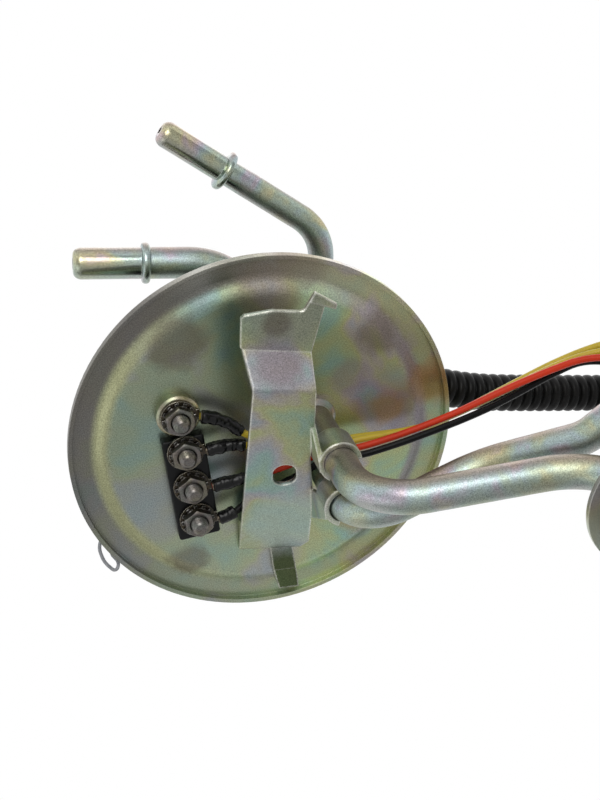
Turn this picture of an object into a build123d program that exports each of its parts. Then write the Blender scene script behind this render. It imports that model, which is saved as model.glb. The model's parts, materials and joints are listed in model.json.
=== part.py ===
from build123d import *
import math
import os

# Tank-side fuel pump module. Millimetres. The origin is the centre of the mounting plate, on the ring
# face that seats on the tank. +Z points out of the tank, and the pump hangs towards -Z.

# mounting plate
plate_radius = 58.0
plate_sheet = 1.3
lip_depth = 2.0
step_outer_radius = 50.9
step_inner_radius = 46.6
panel_drop = 2.0
plate_corner = 1.0
step_bend = 6.0
panel_face = -panel_drop
panel_back = plate_sheet - panel_drop

# fuel tubes
tube_radius = 9.53 / 2
tube_wall = 0.9
return_end_radius = 7.94 / 2
hole_clearance = 0.05
bead_stand = 1.435
bead_radius = tube_radius + bead_stand
bead_width = 2.6
supply_x, supply_y = 15.9, -3.3
return_x, return_y = 15.5, 10.9
braze_height = 1.6
braze_width = 1.7

# tube bracket, folded from sheet
bracket_sheet = 1.4
face_height = -18.76
face_slope_x = -0.1528
face_slope_y = 0.388
wing_slope_x = -0.072
wing_height = -22.0
wing_start_x = -5.6
bracket_hole_radius = 3.4
bracket_hole_length = 9.4
bend_radius = 1.3
rim_height = 4.0
tongue_rise = 2.8
clip_wall = 1.35
clip_clearance = 0.13
supply_clip_low, supply_clip_high = -30.0, -20.6
return_clip_low, return_clip_high = -31.0, -22.0

# electrical terminals
stud_x = -24.3
stud_pitch = 11.6
first_stud_y = -15.7
stud_count = 4
stud_radius = 2.5
stud_tip = -12.2
nut_across_flats = 8.0
nut_height = 2.4
nut_slope = 30.0
nut_bevel = 0.4
washer_land = 2.5
washer_radius = stud_radius + washer_land
washer_height = 0.6
ring_land = 2.9
ring_radius = stud_radius + ring_land
ring_height = 0.8
barrel_radius = 1.5
barrel_length = 3.4
terminal_face = -5.6
block_width = 12.5
block_length = 34.2
block_middle_y = 8.6
block_corner = 0.8
bushing_wall = 1.7
bushing_radius = stud_radius + bushing_wall
bushing_stand = 3.0
boss_land = 3.95
boss_radius = stud_radius + boss_land
stud_clearance = 0.1
head_height = 3.0
cover_wall = 1.6
cover_margin = 4.5
cover_top = 16.0
cover_corner = 4.0
cover_edge = 2.0
neck_out, neck_in = 8.0, 2.5
ear_half = 2.0

# leads and sleeves
lead_radius = 1.05
sleeve_bore = barrel_radius + 0.02
sleeve_wall = 0.6

# outside harness
conduit_radius = 5.9
neck_wall = 1.8
plug_width, plug_height, plug_length = 30.0, 16.0, 34.0
plug_collar_length = 9.0
plug_corner = 3.0
contact_radius, contact_depth = 1.6, 12.0

# pump
pump_x, pump_y = 83.0, -5.9
pump_radius = 19.0
case_wall = 0.9
case_top, case_bottom = -121.0, -187.0
crimp = 1.6
seat_clearance = 0.05
nipple_top = -106.0
nipple_radius = tube_radius
nipple_bore = 2.9
cap_deck = -119.0
cap_thickness = 7.0
shaft_radius = 2.0
running_clearance = 0.03
shaft_top, shaft_bottom = -123.5, -183.6
air_gap = 0.95
armature_top, armature_bottom = -140.0, -168.0
commutator_radius = 5.5
commutator_top = -131.5
magnet_wall = 3.9
armature_radius = pump_radius - case_wall - seat_clearance - magnet_wall - air_gap
magnet_span = 130.0
bush_radius = 4.2
bush_length = 4.5
body_top = -173.0
impeller_radius = 14.0
impeller_height = 3.4
impeller_blades = 30
impeller_clearance = 0.3
body_bottom = -180.0
inlet_bore = 4.2
inlet_spigot_radius = 6.2
inlet_spigot_end = -197.0
inlet_offset = 8.5
terminal_spread, terminal_setback = 8.6, 8.2

# hose between the supply tube and the pump
tube_end = -102.0
hose_wall = 3.0
hose_top, hose_bottom = -91.5, -117.5
clamp_wall = 0.8
clamp_width = 9.0
clamp_clearance = 0.05
clamp_inset = 1.5
screw_stand, screw_radius, screw_length = 2.4, 2.2, 14.0
screw_head_radius, screw_head_height = 3.2, 4.0
screw_housing = (7.0, 4.6, 7.5)

# pump bracket
lug_face = -88.0
pump_sheet = 1.5
strap_gap = 1.0
strap_width = 26.0
foot_length = 33.0
isolator_height = 3.4
isolator_wall = 1.3

# strainer
sock_length, sock_width, sock_height = 62.0, 34.0, 9.0
sock_corner = 4.0
sock_end_radius = 14.0
neck_radius = 8.2

# level sender
pivot_y, pivot_z = -5.9, -138.0
housing_depth = 11.0
housing_width = 24.0
housing_top, housing_bottom = -106.0, -150.0
housing_wall = 1.5
housing_corner = 3.0
room_below_top, room_above_bottom = 9.5, 8.0
entry_depth = 4.0
boss_height = 1.2
arm_radius = 1.2
arm_reach = 96.0
arm_droop = 38.0
arm_bend = [2.6, 2.6]
float_radius = 11.0
float_length = 38.0
rivet_radius = 1.6

# tube runs, from the outside end inwards
supply_points = [
    (-43.2, -52.2, 35.0),
    (4.6, -43.2, 31.7),
    (supply_x, supply_y, 31.7),
    (supply_x, supply_y, -54.1),
    (pump_x, pump_y, -65.6),
    (pump_x, pump_y, tube_end),
]
supply_bends = [23.5, 15.0, 19.9, 24.0]
supply_bead_from_end = 20.2
return_neck = 9.0
return_neck_length = 3.0
return_outer_points = [
    (-10.4, -85.6, 39.0),
    (34.3, -45.2, 34.0),
    (return_x, return_y, 34.0),
    (return_x, return_y, return_neck + return_neck_length),
]
return_outer_bends = [15.6, 15.0]
return_bead_from_end = 21.4
return_inner_points = [
    (return_x, return_y, return_neck),
    (return_x, return_y, -41.8),
    (53.7, 2.9, -38.7),
    (78.4, -8.4, -55.0),
    (105.8, -35.0, -67.2),
    (105.8, -35.0, -172.0),
]
return_inner_bends = [14.0, 25.0, 16.0, 14.0]

# lead runs, from the studs to the pump and the sender
live_terminal = (pump_x + terminal_spread, pump_y + terminal_setback)
earth_terminal = (pump_x - terminal_spread, pump_y + terminal_setback)
lead_height = terminal_face - sleeve_bore - sleeve_wall - 0.05
yellow_route = [
    (-18.5, -15.7, lead_height),
    (-12.3, -13.6, lead_height),
    (-6.5, -6.6, -8.4),
    (1.5, -1.3, -7.0),
    (8.5, 2.4, -6.4),
    (15.7, 3.8, -6.1),
    (25.0, 3.4, -6.9),
    (39.9, 4.8, -7.9),
    (49.3, 5.1, -8.0),
    (59.0, 2.5, -8.2),
    (68.8, -0.3, -8.3),
    (78.5, -3.4, -8.4),
    (88.3, -6.4, -8.6),
    (97.9, -8.6, -8.9),
    (107.5, -10.0, -9.6),
    (114.8, -10.8, -15.4),
    (118.0, -11.0, -27.0),
    (118.3, -10.8, -43.0),
    (116.4, -10.2, -61.0),
    (112.8, -9.6, -78.0),
    (110.4, -9.4, -91.0),
    (110.1, -9.4, -100.5),
    (110.0, -9.4, -109.6),
]
second_yellow_route = [
    (-18.5, -4.0, lead_height),
    (-12.4, -4.8, lead_height),
    (-5.6, -3.3, -9.1),
    (1.8, 0.1, -9.3),
    (8.5, 2.9, -9.1),
    (15.7, 3.8, -8.8),
    (25.0, 2.8, -9.7),
    (39.1, 3.2, -10.8),
    (48.5, 3.0, -10.9),
    (58.1, 1.1, -11.0),
    (67.8, -1.4, -11.0),
    (77.4, -3.9, -11.1),
    (87.1, -6.7, -11.2),
    (96.8, -8.6, -11.4),
    (105.6, -9.6, -13.4),
    (112.2, -8.6, -20.8),
    (114.6, -6.6, -33.0),
    (114.4, -4.6, -48.0),
    (112.6, -3.2, -64.0),
    (110.8, -2.4, -80.0),
    (110.2, -2.2, -91.0),
    (110.1, -2.4, -100.5),
    (110.0, -2.4, -109.6),
]
red_route = [
    (-18.5, 8.1, lead_height),
    (-12.4, 7.9, lead_height),
    (-5.2, 6.8, -9.9),
    (1.9, 5.5, -11.0),
    (8.6, 4.3, -11.4),
    (15.7, 3.8, -11.4),
    (26.0, 4.1, -12.5),
    (38.3, 2.6, -13.2),
    (47.7, 1.1, -13.4),
    (57.3, -0.7, -13.4),
    (66.9, -3.2, -13.4),
    (76.5, -5.5, -13.5),
    (86.1, -7.4, -13.6),
    (95.7, -8.9, -13.9),
    (103.8, -9.0, -16.4),
    (109.8, -5.5, -24.4),
    (110.8, 3.5, -35.0),
    (109.2, 12.5, -47.5),
    (105.2, 18.6, -61.0),
    (99.6, 21.4, -75.0),
    (94.8, 18.4, -89.0),
    (92.4, 10.2, -99.0),
    (*live_terminal, -106.5),
    (*live_terminal, -116.0),
]
black_route = [
    (-18.5, 19.6, lead_height),
    (-13.4, 19.0, -7.9),
    (-8.4, 17.0, -5.8),
    (0.4, 12.6, -8.9),
    (8.4, 7.6, -12.9),
    (15.7, 3.8, -14.1),
    (25.0, 5.2, -15.2),
    (37.4, 3.8, -15.8),
    (46.9, 2.6, -15.7),
    (56.6, 1.4, -15.3),
    (66.6, 0.0, -14.3),
    (76.8, -1.9, -12.6),
    (87.2, -4.1, -10.9),
    (97.2, -6.0, -10.1),
    (105.8, -5.2, -12.6),
    (110.8, -0.6, -20.0),
    (109.4, 6.5, -31.4),
    (106.0, 13.4, -45.0),
    (101.6, 18.2, -60.0),
    (94.0, 20.4, -79.0),
    (85.5, 18.6, -92.0),
    (77.6, 10.8, -101.5),
    (*earth_terminal, -107.0),
    (*earth_terminal, -116.0),
]
lead_routes = [yellow_route, second_yellow_route, red_route, black_route]
sleeve_start = 0.6
sleeve_lengths = [13.2, 11.2, 10.2, 5.0]

# conduit run
conduit_route = [
    (-14.0, -15.2, 8.0),
    (6.5, -17.4, 8.4),
    (27.5, -14.2, 8.2),
    (46.5, -4.0, 8.4),
    (66.0, 6.4, 9.6),
    (88.0, 13.7, 12.0),
    (111.0, 20.3, 13.8),
    (134.0, 25.8, 13.0),
    (155.0, 28.2, 10.4),
]

# tag loop
loop_radius = 0.55
loop_route = [
    (-35.4, 24.2, 2.6),
    (-36.6, 29.0, 2.6),
    (-42.5, 29.2, 2.4),
    (-48.5, 26.2, 2.2),
    (-51.6, 28.6, 2.1),
    (-49.4, 33.0, 2.1),
    (-51.0, 36.2, 2.1),
    (-53.9, 31.6, 2.1),
    (-54.6, 25.2, 2.2),
    (-49.0, 18.4, 2.3),
    (-41.6, 14.6, 2.4),
    (-36.2, 15.4, 2.6),
    (-35.4, 19.6, 2.6),
]

# pump case, end cap, brushes and valve
can_bore = pump_radius - case_wall
seat_radius = can_bore - seat_clearance
cap_low = cap_deck - cap_thickness
port_offset = 7.5
terminal_places = [live_terminal, earth_terminal]
brush_size = 3.2
brush_length = 5.0
brush_gap = 0.05
brush_middle = commutator_top - 2.6
holder_wall = 1.1
holder_reach = 15.5
valve_seat = cap_deck + 2.0
valve_seat_radius = 1.7
terminal_post_radius = 2.3
terminal_top = -111.0
spring_wire = 0.22
spring_radius = 2.05
retainer_height = 1.6

# armature slots
slot_count = 8
slot_radius = 2.6
slot_circle = 9.0

# turbine stage
impeller_top = body_bottom - impeller_clearance
impeller_low = impeller_top - impeller_height
cavity_low = impeller_low - impeller_clearance
cover_seat = case_bottom + case_wall + seat_clearance
cover_low = case_bottom - 2.0

# heights and walls that follow from the pump
wall_inner = pump_x + pump_radius + strap_gap
wall_outer = wall_inner + pump_sheet
isolator_low = cover_low - isolator_height
foot_low = isolator_low - pump_sheet
neck_top = foot_low - 0.4

# sender details
housing_low_x = wall_outer
housing_high_x = wall_outer + housing_depth
rivet_places = [(pivot_y, housing_top - 5.0), (pivot_y, housing_bottom + 4.2)]
inside_low_x = housing_low_x + housing_wall
arm_x = housing_high_x + 4.2
pivot_boss = 3.6
lead_entries = [route[-1][:2] for route in (yellow_route, second_yellow_route)]
card_sheet = 0.9
card_low, card_high, card_width = 8.0, 20.0, 20.0
card_gap = 0.05
wiper_reach = 17.0
wiper_sheet = 0.8
wiper_width = 3.0
float_travel = 66.0
float_bore = arm_radius + 0.05
float_middle_x = arm_x - float_length / 2 - 4.5


def lift(height, x=0.0, y=0.0):
    return Pos(x, y, height)


def rod(radius, low, high, x=0.0, y=0.0):
    """Solid round bar along Z between two heights."""
    align = (Align.CENTER, Align.CENTER, Align.MIN)
    return lift(low, x, y) * Cylinder(radius, high - low, align=align)


def pipe(outer, inner, low, high, x=0.0, y=0.0):
    return rod(outer, low, high, x, y) - rod(inner, low, high, x, y)


def slab(corners, low, high):
    """Flat outline in X and Y, given as corner points, between two heights."""
    outline = make_face(Polyline(*[(x, y, low) for x, y in corners], close=True))
    return extrude(outline, amount=high - low, dir=(0, 0, 1))


def sheet_piece(corners, thickness, toward):
    """Flat sheet: the corners lie on one face and the thickness goes towards a direction."""
    outline = make_face(Polyline(*corners, close=True))
    normal = outline.face().normal_at()
    if normal.dot(Vector(*toward)) < 0:
        normal = -normal
    return extrude(outline, amount=thickness, dir=normal)


def outward_normal(corners):
    normal = make_face(Polyline(*corners, close=True)).face().normal_at()
    return normal if normal.Z > 0 else -normal


def bend_filler(one, other, thickness):
    """Round outside of a bend between two flat sheets whose outlines start with the shared line."""
    start, end = Vector(*one[0]), Vector(*one[1])
    along_bend = (end - start).normalized()
    before, after = outward_normal(one), outward_normal(other)
    turn = before.get_angle(after)
    if before.cross(after).dot(along_bend) < 0:
        turn = -turn
    corners = [start, end, end + before * thickness, start + before * thickness]
    section = make_face(Polyline(*corners, close=True))
    return revolve(section, axis=Axis(start, along_bend), revolution_arc=turn)


def nearest_edge(shape, point):
    target = Vector(*point)
    return min(shape.edges(), key=lambda edge: (edge.center() - target).length)


def middle(start, end):
    return tuple((a + b) / 2 for a, b in zip(start, end))


def swept(path, outer, inner=0.0):
    """Round bar or pipe along a path."""
    start = Plane(origin=path @ 0, z_dir=path % 0)
    section = start * Circle(outer)
    if inner:
        section -= start * Circle(inner)
    return sweep(section, path=path)


def easy_radii(points):
    """One radius for each corner, as large as the two runs beside it allow."""
    radii = []
    for before, corner, after in zip(points, points[1:], points[2:]):
        arriving = Vector(*corner) - Vector(*before)
        leaving = Vector(*after) - Vector(*corner)
        half_turn = math.radians(arriving.get_angle(leaving)) / 2
        shorter = min(arriving.length, leaving.length)
        radii.append(0.45 * shorter / math.tan(half_turn))
    return radii


def easy_path(points):
    return FilletPolyline(*points, radius=easy_radii(points))


def stud_places():
    return [(stud_x, first_stud_y + stud_pitch * index) for index in range(stud_count)]


# mounting plate: a pressed disc whose edge is turned towards the tank

def mounting_plate():
    lip_inner = plate_radius - plate_sheet
    corners = [
        (0, panel_back),
        (step_inner_radius, panel_back),
        (step_outer_radius, plate_sheet),
        (plate_radius, plate_sheet),
        (plate_radius, -lip_depth),
        (lip_inner, -lip_depth),
        (lip_inner, 0),
        (step_outer_radius, 0),
        (step_inner_radius, panel_face),
        (0, panel_face),
    ]
    outline = make_face(Polyline(*[(r, 0, z) for r, z in corners], close=True))
    for r, z, bend in (
        (step_inner_radius, panel_back, step_bend),
        (step_outer_radius, plate_sheet, step_bend + plate_sheet),
        (step_outer_radius, 0, step_bend),
        (step_inner_radius, panel_face, step_bend + plate_sheet),
        (plate_radius, plate_sheet, plate_corner),
    ):
        outline = fillet(outline.vertices().sort_by_distance((r, 0, z))[0], bend)
    plate = revolve(outline, axis=Axis.Z)
    deep, high = panel_face - 1, plate_sheet + 1
    for x, y in ((supply_x, supply_y), (return_x, return_y)):
        plate -= rod(tube_radius + hole_clearance, deep, high, x, y)
    ground, *insulated = stud_places()
    plate -= rod(stud_radius + hole_clearance, deep, high, *ground)
    for x, y in insulated:
        plate -= rod(bushing_radius + hole_clearance, deep, high, x, y)
    return plate


# fuel tubes: each is one bent steel tube that passes through the plate


def bead(path, from_end, bore):
    """Rounded collar rolled into a tube near its outside end, where a line or hose seats."""
    place = Plane(origin=path @ (from_end / path.length), z_dir=path % 0)
    collar = extrude(place * (Circle(bead_radius) - Circle(bore)), amount=bead_width)
    rims = [edge for edge in collar.edges() if abs(edge.length - 2 * math.pi * bead_radius) < 0.5]
    rims = [edge for edge in rims if edge.geom_type == GeomType.CIRCLE]
    return fillet(rims, bead_width * 0.42)


def supply_tube():
    path = FilletPolyline(*supply_points, radius=supply_bends)
    tube = swept(path, tube_radius, tube_radius - tube_wall)
    return tube + bead(path, supply_bead_from_end, tube_radius - 0.3)


def return_tube():
    outer = FilletPolyline(*return_outer_points, radius=return_outer_bends)
    inner = FilletPolyline(*return_inner_points, radius=return_inner_bends)
    tube = swept(outer, return_end_radius, return_end_radius - tube_wall)
    tube += bead(outer, return_bead_from_end, return_end_radius - 0.3)
    neck_profile = [
        (tube_radius, return_neck),
        (return_end_radius, return_neck + return_neck_length),
        (return_end_radius - tube_wall, return_neck + return_neck_length),
        (tube_radius - tube_wall, return_neck),
    ]
    neck = make_face(Polyline(*[(r, 0, z) for r, z in neck_profile], close=True))
    tube += lift(0, return_x, return_y) * revolve(neck, axis=Axis.Z)
    return tube + swept(inner, tube_radius, tube_radius - tube_wall)


def braze_rings():
    """A fillet of braze round each tube, on both faces of the plate."""
    rings = []
    for x, y in ((supply_x, supply_y), (return_x, return_y)):
        for face, way in ((panel_face, -1), (panel_back, 1)):
            profile = [
                (tube_radius, face),
                (tube_radius + braze_width, face),
                (tube_radius + braze_width * 0.3, face + way * braze_height * 0.45),
                (tube_radius, face + way * braze_height),
            ]
            outline = make_face(Polyline(*[(r, 0, z) for r, z in profile], close=True))
            rings.append(lift(0, x, y) * revolve(outline, axis=Axis.Z))
    return rings


# tube bracket: a folded strap that is welded to the panel and clips both tubes

def on_face(x, y):
    return (x, y, face_height + face_slope_x * x + face_slope_y * y)


def on_wing(x, y):
    return (x, y, wing_height + wing_slope_x * (x - wing_start_x))


def valley_corner(fold_left, fold_right, valley_left, x):
    """Point of the wing at x that lies in the plane of the slope."""
    origin = Vector(*fold_left)
    normal = (Vector(*fold_right) - origin).cross(Vector(*valley_left) - origin)
    height = on_wing(x, 0)[2]
    y = origin.Y - (normal.X * (x - origin.X) + normal.Z * (height - origin.Z)) / normal.Y
    return (x, y, height)


def bracket_clip(x, y, low, high, start, end):
    """Open ring of sheet round a tube, from one angle to another, seen from outside the tank."""
    inner = tube_radius + clip_clearance
    outer = inner + clip_wall
    ring = pipe(outer, inner, low, high, x, y)
    reach = outer * 3
    middle_angle = math.radians((end + start) / 2 + 180)
    half_gap = math.radians(180 - (end - start) / 2)
    corners = [
        (x, y),
        (x + reach * math.cos(middle_angle - half_gap), y + reach * math.sin(middle_angle - half_gap)),
        (x + reach * math.cos(middle_angle), y + reach * math.sin(middle_angle)),
        (x + reach * math.cos(middle_angle + half_gap), y + reach * math.sin(middle_angle + half_gap)),
    ]
    return ring - slab(corners, low - 1, high + 1)


def flap(start, end, reach, inset):
    """Corners of a flat flap on a fold line, narrowed by a share of the line at each end."""
    start, end, reach = Vector(*start), Vector(*end), Vector(*reach)
    narrowing = (end - start) * inset
    return [tuple(v) for v in (start, end, end + reach - narrowing, start + reach + narrowing)]


def upright(x, corners):
    """Wall of sheet that stands along X = x, given as Y and Z corners."""
    outline = make_face(Polyline(*[(x, y, z) for y, z in corners], close=True))
    return extrude(outline, amount=clip_wall, dir=(1, 0, 0))


def tube_bracket():
    tank_to_plate = (0, 0, 1)
    fold_left, fold_right = on_face(-5.7, -32.1), on_face(11.3, -28.1)
    face = sheet_piece(
        [
            on_face(-13.2, 35.5),
            on_face(5.5, 38.9),
            on_face(8.2, 36.9),
            on_face(9.1, 26.2),
            on_face(9.8, 13.3),
            on_face(9.2, -1.6),
            on_face(10.7, -15.1),
            fold_right,
            fold_left,
        ],
        bracket_sheet,
        tank_to_plate,
    )
    valley_left = on_wing(wing_start_x, -40.5)
    valley_right = valley_corner(fold_left, fold_right, valley_left, 13.0)
    slope_corners = [valley_left, valley_right, fold_right, fold_left]
    wing_corners = [
        valley_left,
        valley_right,
        on_wing(18.1, -48.6),
        on_wing(21.6, -48.6),
        on_wing(16.1, -53.2),
        on_wing(15.0, -51.9),
        on_wing(12.6, -48.8),
        on_wing(11.3, -48.5),
        on_wing(4.0, -50.3),
        on_wing(-3.6, -50.4),
        on_wing(-4.8, -49.6),
        on_wing(-6.1, -41.2),
    ]
    slope = sheet_piece(slope_corners, bracket_sheet, tank_to_plate)
    wing = sheet_piece(wing_corners, bracket_sheet, tank_to_plate)
    bracket = face + slope + bend_filler(slope_corners, wing_corners, bracket_sheet) + wing
    bracket = fillet(nearest_edge(bracket, middle(fold_left, fold_right)), bend_radius)
    rim = flap(on_wing(15.0, -51.9), on_wing(21.6, -48.6), (0.4, 1.4, rim_height), 0.12)
    bracket += sheet_piece(rim, bracket_sheet, (-1, 1, 0))
    weld_face = panel_face - bracket_sheet
    foot = [(-12.6, 33.5), (-12.2, 35.2), (4.8, 38.3), (7.6, 36.4), (6.0, 30.0), (-11.5, 26.0)]
    bracket += slab(foot, weld_face, panel_face)
    tongue_left, tongue_right = (-3.7, 45.9), (3.5, 46.9)
    bracket += slab([(-3.7, 35.0), tongue_left, tongue_right, (3.2, 35.0)], weld_face, panel_face)
    tongue_base = [(*corner, weld_face) for corner in (tongue_left, tongue_right, (3.2, 35.0), (-3.7, 35.0))]
    tongue = flap((*tongue_left, weld_face), (*tongue_right, weld_face), (0.0, 5.2, -tongue_rise), 0.07)
    bracket += sheet_piece(tongue, bracket_sheet, tank_to_plate)
    bracket += bend_filler(tongue_base, tongue, bracket_sheet)
    clip_outer = tube_radius + clip_clearance + clip_wall
    supply_side = supply_x - clip_outer
    supply_neck = [(-15.1, -25.2), (-1.6, -19.8), (-1.6, supply_clip_low), (-5, supply_clip_low)]
    bracket += upright(supply_side, supply_neck)
    return_side = return_x - clip_outer
    bracket += upright(
        return_side,
        [
            (13.3, -14.2),
            (26.2, -9.3),
            (13.5, return_clip_low),
            (return_y - 1, return_clip_low),
            (return_y - 1, return_clip_high),
        ],
    )
    bracket += bracket_clip(supply_x, supply_y, supply_clip_low, supply_clip_high, 128, 360)
    bracket += bracket_clip(return_x, return_y, return_clip_low, return_clip_high, 115, 275)
    hole_x, hole_y, hole_z = on_face(1.7, 4.3)
    through = Plane(
        origin=(hole_x, hole_y, hole_z), x_dir=(0, 1, face_slope_y), z_dir=(-face_slope_x, -face_slope_y, 1)
    )
    opening = through * SlotOverall(bracket_hole_length, bracket_hole_radius * 2)
    bracket -= extrude(opening, amount=bracket_sheet * 2, both=True)
    return bracket - slab([(-20, 25), (15, 25), (15, 45), (-20, 45)], panel_face, panel_face + 5)


# electrical terminals: an earthed stud on a boss and three studs in an insulating block

def terminal_block():
    body = slab(
        [
            (stud_x - block_width / 2, block_middle_y - block_length / 2),
            (stud_x + block_width / 2, block_middle_y - block_length / 2),
            (stud_x + block_width / 2, block_middle_y + block_length / 2),
            (stud_x - block_width / 2, block_middle_y + block_length / 2),
        ],
        terminal_face,
        panel_face,
    )
    body = fillet(body.edges().filter_by(Axis.Z), block_corner)
    body = fillet(body.faces().sort_by(Axis.Z)[0].edges(), 0.6)
    for x, y in stud_places()[1:]:
        body += rod(bushing_radius, panel_face, panel_back + bushing_stand, x, y)
        body -= rod(stud_radius + stud_clearance, terminal_face - 1, panel_back + bushing_stand + 1, x, y)
    return body


def ground_boss():
    x, y = stud_places()[0]
    boss = pipe(boss_radius, stud_radius + hole_clearance, terminal_face, panel_face, x, y)
    rims = [edge for edge in boss.edges() if edge.center().Z < terminal_face + 0.1 and edge.length > 30]
    return chamfer(rims, 0.6)


def hexagon(low, high, x, y):
    flat = RegularPolygon(nut_across_flats / 2, 6, major_radius=False, rotation=30)
    return lift(low, x, y) * extrude(flat, amount=high - low)


def terminal_studs():
    studs = []
    for x, y in stud_places():
        top = panel_back + bushing_stand
        stud = rod(stud_radius, stud_tip, top, x, y)
        stud = chamfer(stud.faces().sort_by(Axis.Z)[0].edges(), 0.5)
        studs.append(stud + hexagon(top, top + head_height, x, y))
    return studs


def terminal_nuts():
    high = terminal_face - ring_height - washer_height
    nuts = []
    for x, y in stud_places():
        nut = hexagon(high - nut_height, high, x, y)
        face = lift(high - nut_height, x, y)
        upward = (Align.CENTER, Align.CENTER, Align.MIN)
        flat_radius = nut_across_flats / 2
        widest = flat_radius + nut_height / math.tan(math.radians(nut_slope))
        nut &= face * Cone(flat_radius, widest, nut_height, align=upward)
        bore = stud_radius + hole_clearance
        nut -= face * Cone(bore + nut_bevel, bore, nut_bevel, align=upward)
        nuts.append(nut - rod(bore, high - nut_height - 1, high + 1, x, y))
    return nuts


def star_washers():
    """Toothed lock washers under the nuts."""
    low = terminal_face - ring_height - washer_height
    teeth = 12
    washers = []
    for x, y in stud_places():
        washer = pipe(washer_radius - 0.9, stud_radius + stud_clearance, low, low + washer_height, x, y)
        for index in range(teeth):
            tooth = Pos(washer_radius - 0.75, 0, 0) * Rot(9, 0, 0) * Box(1.5, 1.15, washer_height * 0.65)
            washer += lift(low + washer_height / 2, x, y) * Rot(0, 0, 360 / teeth * index) * tooth
        washers.append(washer)
    return washers


def lead(route):
    return swept(easy_path(route), lead_radius)


def lead_sleeves():
    sleeves = []
    for route, length in zip(lead_routes, sleeve_lengths):
        path = easy_path(route)
        cover = path.trim(sleeve_start / path.length, (sleeve_start + length) / path.length)
        sleeves.append(swept(cover, sleeve_bore + sleeve_wall, sleeve_bore))
    return sleeves


def ring_terminals():
    """Crimp terminals: a ring on the stud, a tab and a barrel on the lead."""
    terminals = []
    low = terminal_face - ring_height
    for (x, y), route in zip(stud_places(), lead_routes):
        start, onward = Vector(*route[0]), Vector(*route[1])
        across = Plane(origin=start, z_dir=onward - start)
        barrel = across * (Circle(barrel_radius) - Circle(lead_radius + hole_clearance))
        terminal = extrude(barrel, amount=barrel_length)
        angle = math.degrees(math.atan2(start.Y - y, start.X - x))
        reach = math.hypot(start.Y - y, start.X - x)
        tab = Pos(reach / 2, 0, 0) * Box(reach + 0.4, barrel_radius * 2.2, ring_height)
        terminal += lift(low + ring_height / 2, x, y) * Rot(0, 0, angle) * tab
        terminal += rod(ring_radius, low, terminal_face, x, y)
        terminals.append(terminal - rod(stud_radius + stud_clearance, low - 1, terminal_face + 1, x, y))
    return terminals


# outside harness: a moulded cover over the stud heads, a corrugated conduit and a plug


def terminal_cover():
    last_y = first_stud_y + stud_pitch * (stud_count - 1)
    reach = nut_across_flats / 2 + cover_margin
    low_x, high_x = stud_x - reach, stud_x + reach
    low_y, high_y = first_stud_y - reach, last_y + reach
    corners = [(low_x, low_y), (high_x, low_y), (high_x, high_y), (low_x, high_y)]
    body = slab(corners, panel_back, cover_top)
    body = fillet(body.edges().filter_by(Axis.Z), cover_corner)
    body = fillet(body.faces().sort_by(Axis.Z)[-1].edges(), cover_edge)
    path = easy_path(conduit_route)
    mouth = Plane(origin=path @ 0, z_dir=path % 0)
    neck = mouth * Circle(conduit_radius + hole_clearance + neck_wall)
    body += extrude(neck, amount=neck_out) + extrude(neck, amount=-neck_in)
    hollow = [
        (low_x + cover_wall, low_y + cover_wall),
        (high_x - cover_wall, low_y + cover_wall),
        (high_x - cover_wall, high_y - cover_wall),
        (low_x + cover_wall, high_y - cover_wall),
    ]
    body -= slab(hollow, panel_back - 1, cover_top - cover_wall)
    body -= extrude(mouth * Circle(conduit_radius + hole_clearance), amount=neck_out + 1)
    body -= extrude(mouth * Circle(conduit_radius - 1.0), amount=-6.0)
    ear_x, ear_y, ear_z = loop_route[0]
    ear_low, ear_high = loop_route[-1][1], loop_route[0][1]
    ear_side = ear_x - ear_half
    ear = [(low_x, ear_low), (ear_side, ear_low), (ear_side, ear_high), (low_x, ear_high)]
    return body + slab(ear, ear_z - ear_half, ear_z + ear_half)


def harness_conduit():
    return swept(easy_path(conduit_route), conduit_radius)


def harness_plug():
    """Four-way plug: a collar round the conduit and a shell with four contact holes."""
    path = easy_path(conduit_route)
    place = Plane(origin=path @ 1, x_dir=(path % 1).cross(Vector(0, 0, 1)), z_dir=path % 1)
    collar = extrude(place * Circle(conduit_radius + neck_wall), amount=plug_collar_length)
    shell = place * Pos(0, 0, plug_collar_length) * extrude(
        RectangleRounded(plug_width, plug_height, plug_corner), amount=plug_length - plug_collar_length
    )
    plug = collar + shell
    pitch = plug_width / 4.6
    for index in range(4):
        mouth = place * Pos((index - 1.5) * pitch, 0, plug_length)
        plug -= mouth * extrude(Circle(contact_radius), amount=-contact_depth)
    return plug


def tag_loop():
    return swept(easy_path(loop_route), loop_radius)


# hose and clamps

def supply_hose():
    outer, inner = tube_radius + hose_wall, tube_radius + hole_clearance
    return pipe(outer, inner, hose_bottom, hose_top, pump_x, pump_y)


def hose_clamps():
    """Two worm-drive bands, each with its screw housing and screw head."""
    inner = tube_radius + hose_wall + clamp_clearance
    outer = inner + clamp_wall
    clamps = []
    for middle_z in (hose_top - clamp_width / 2 - clamp_inset, hose_bottom + clamp_width / 2 + clamp_inset):
        low, high = middle_z - clamp_width / 2, middle_z + clamp_width / 2
        band = pipe(outer, inner, low, high, pump_x, pump_y)
        screw_y = pump_y - outer - screw_stand
        turned = Rot(0, 90, 0)
        housing = Pos(pump_x, screw_y + 0.7, middle_z) * Box(*screw_housing)
        screw = Pos(pump_x + 1.5, screw_y + 0.4, middle_z) * turned * Cylinder(screw_radius, screw_length)
        flats = RegularPolygon(screw_head_radius, 6, major_radius=False)
        head_place = Pos(pump_x + 1.0 + screw_length / 2, screw_y + 0.4, middle_z)
        head = head_place * turned * extrude(flats, amount=screw_head_height)
        clamp = band + housing + screw + head
        clamps.append(clamp - rod(inner, low - 1, high + 1, pump_x, pump_y))
    return clamps


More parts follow.
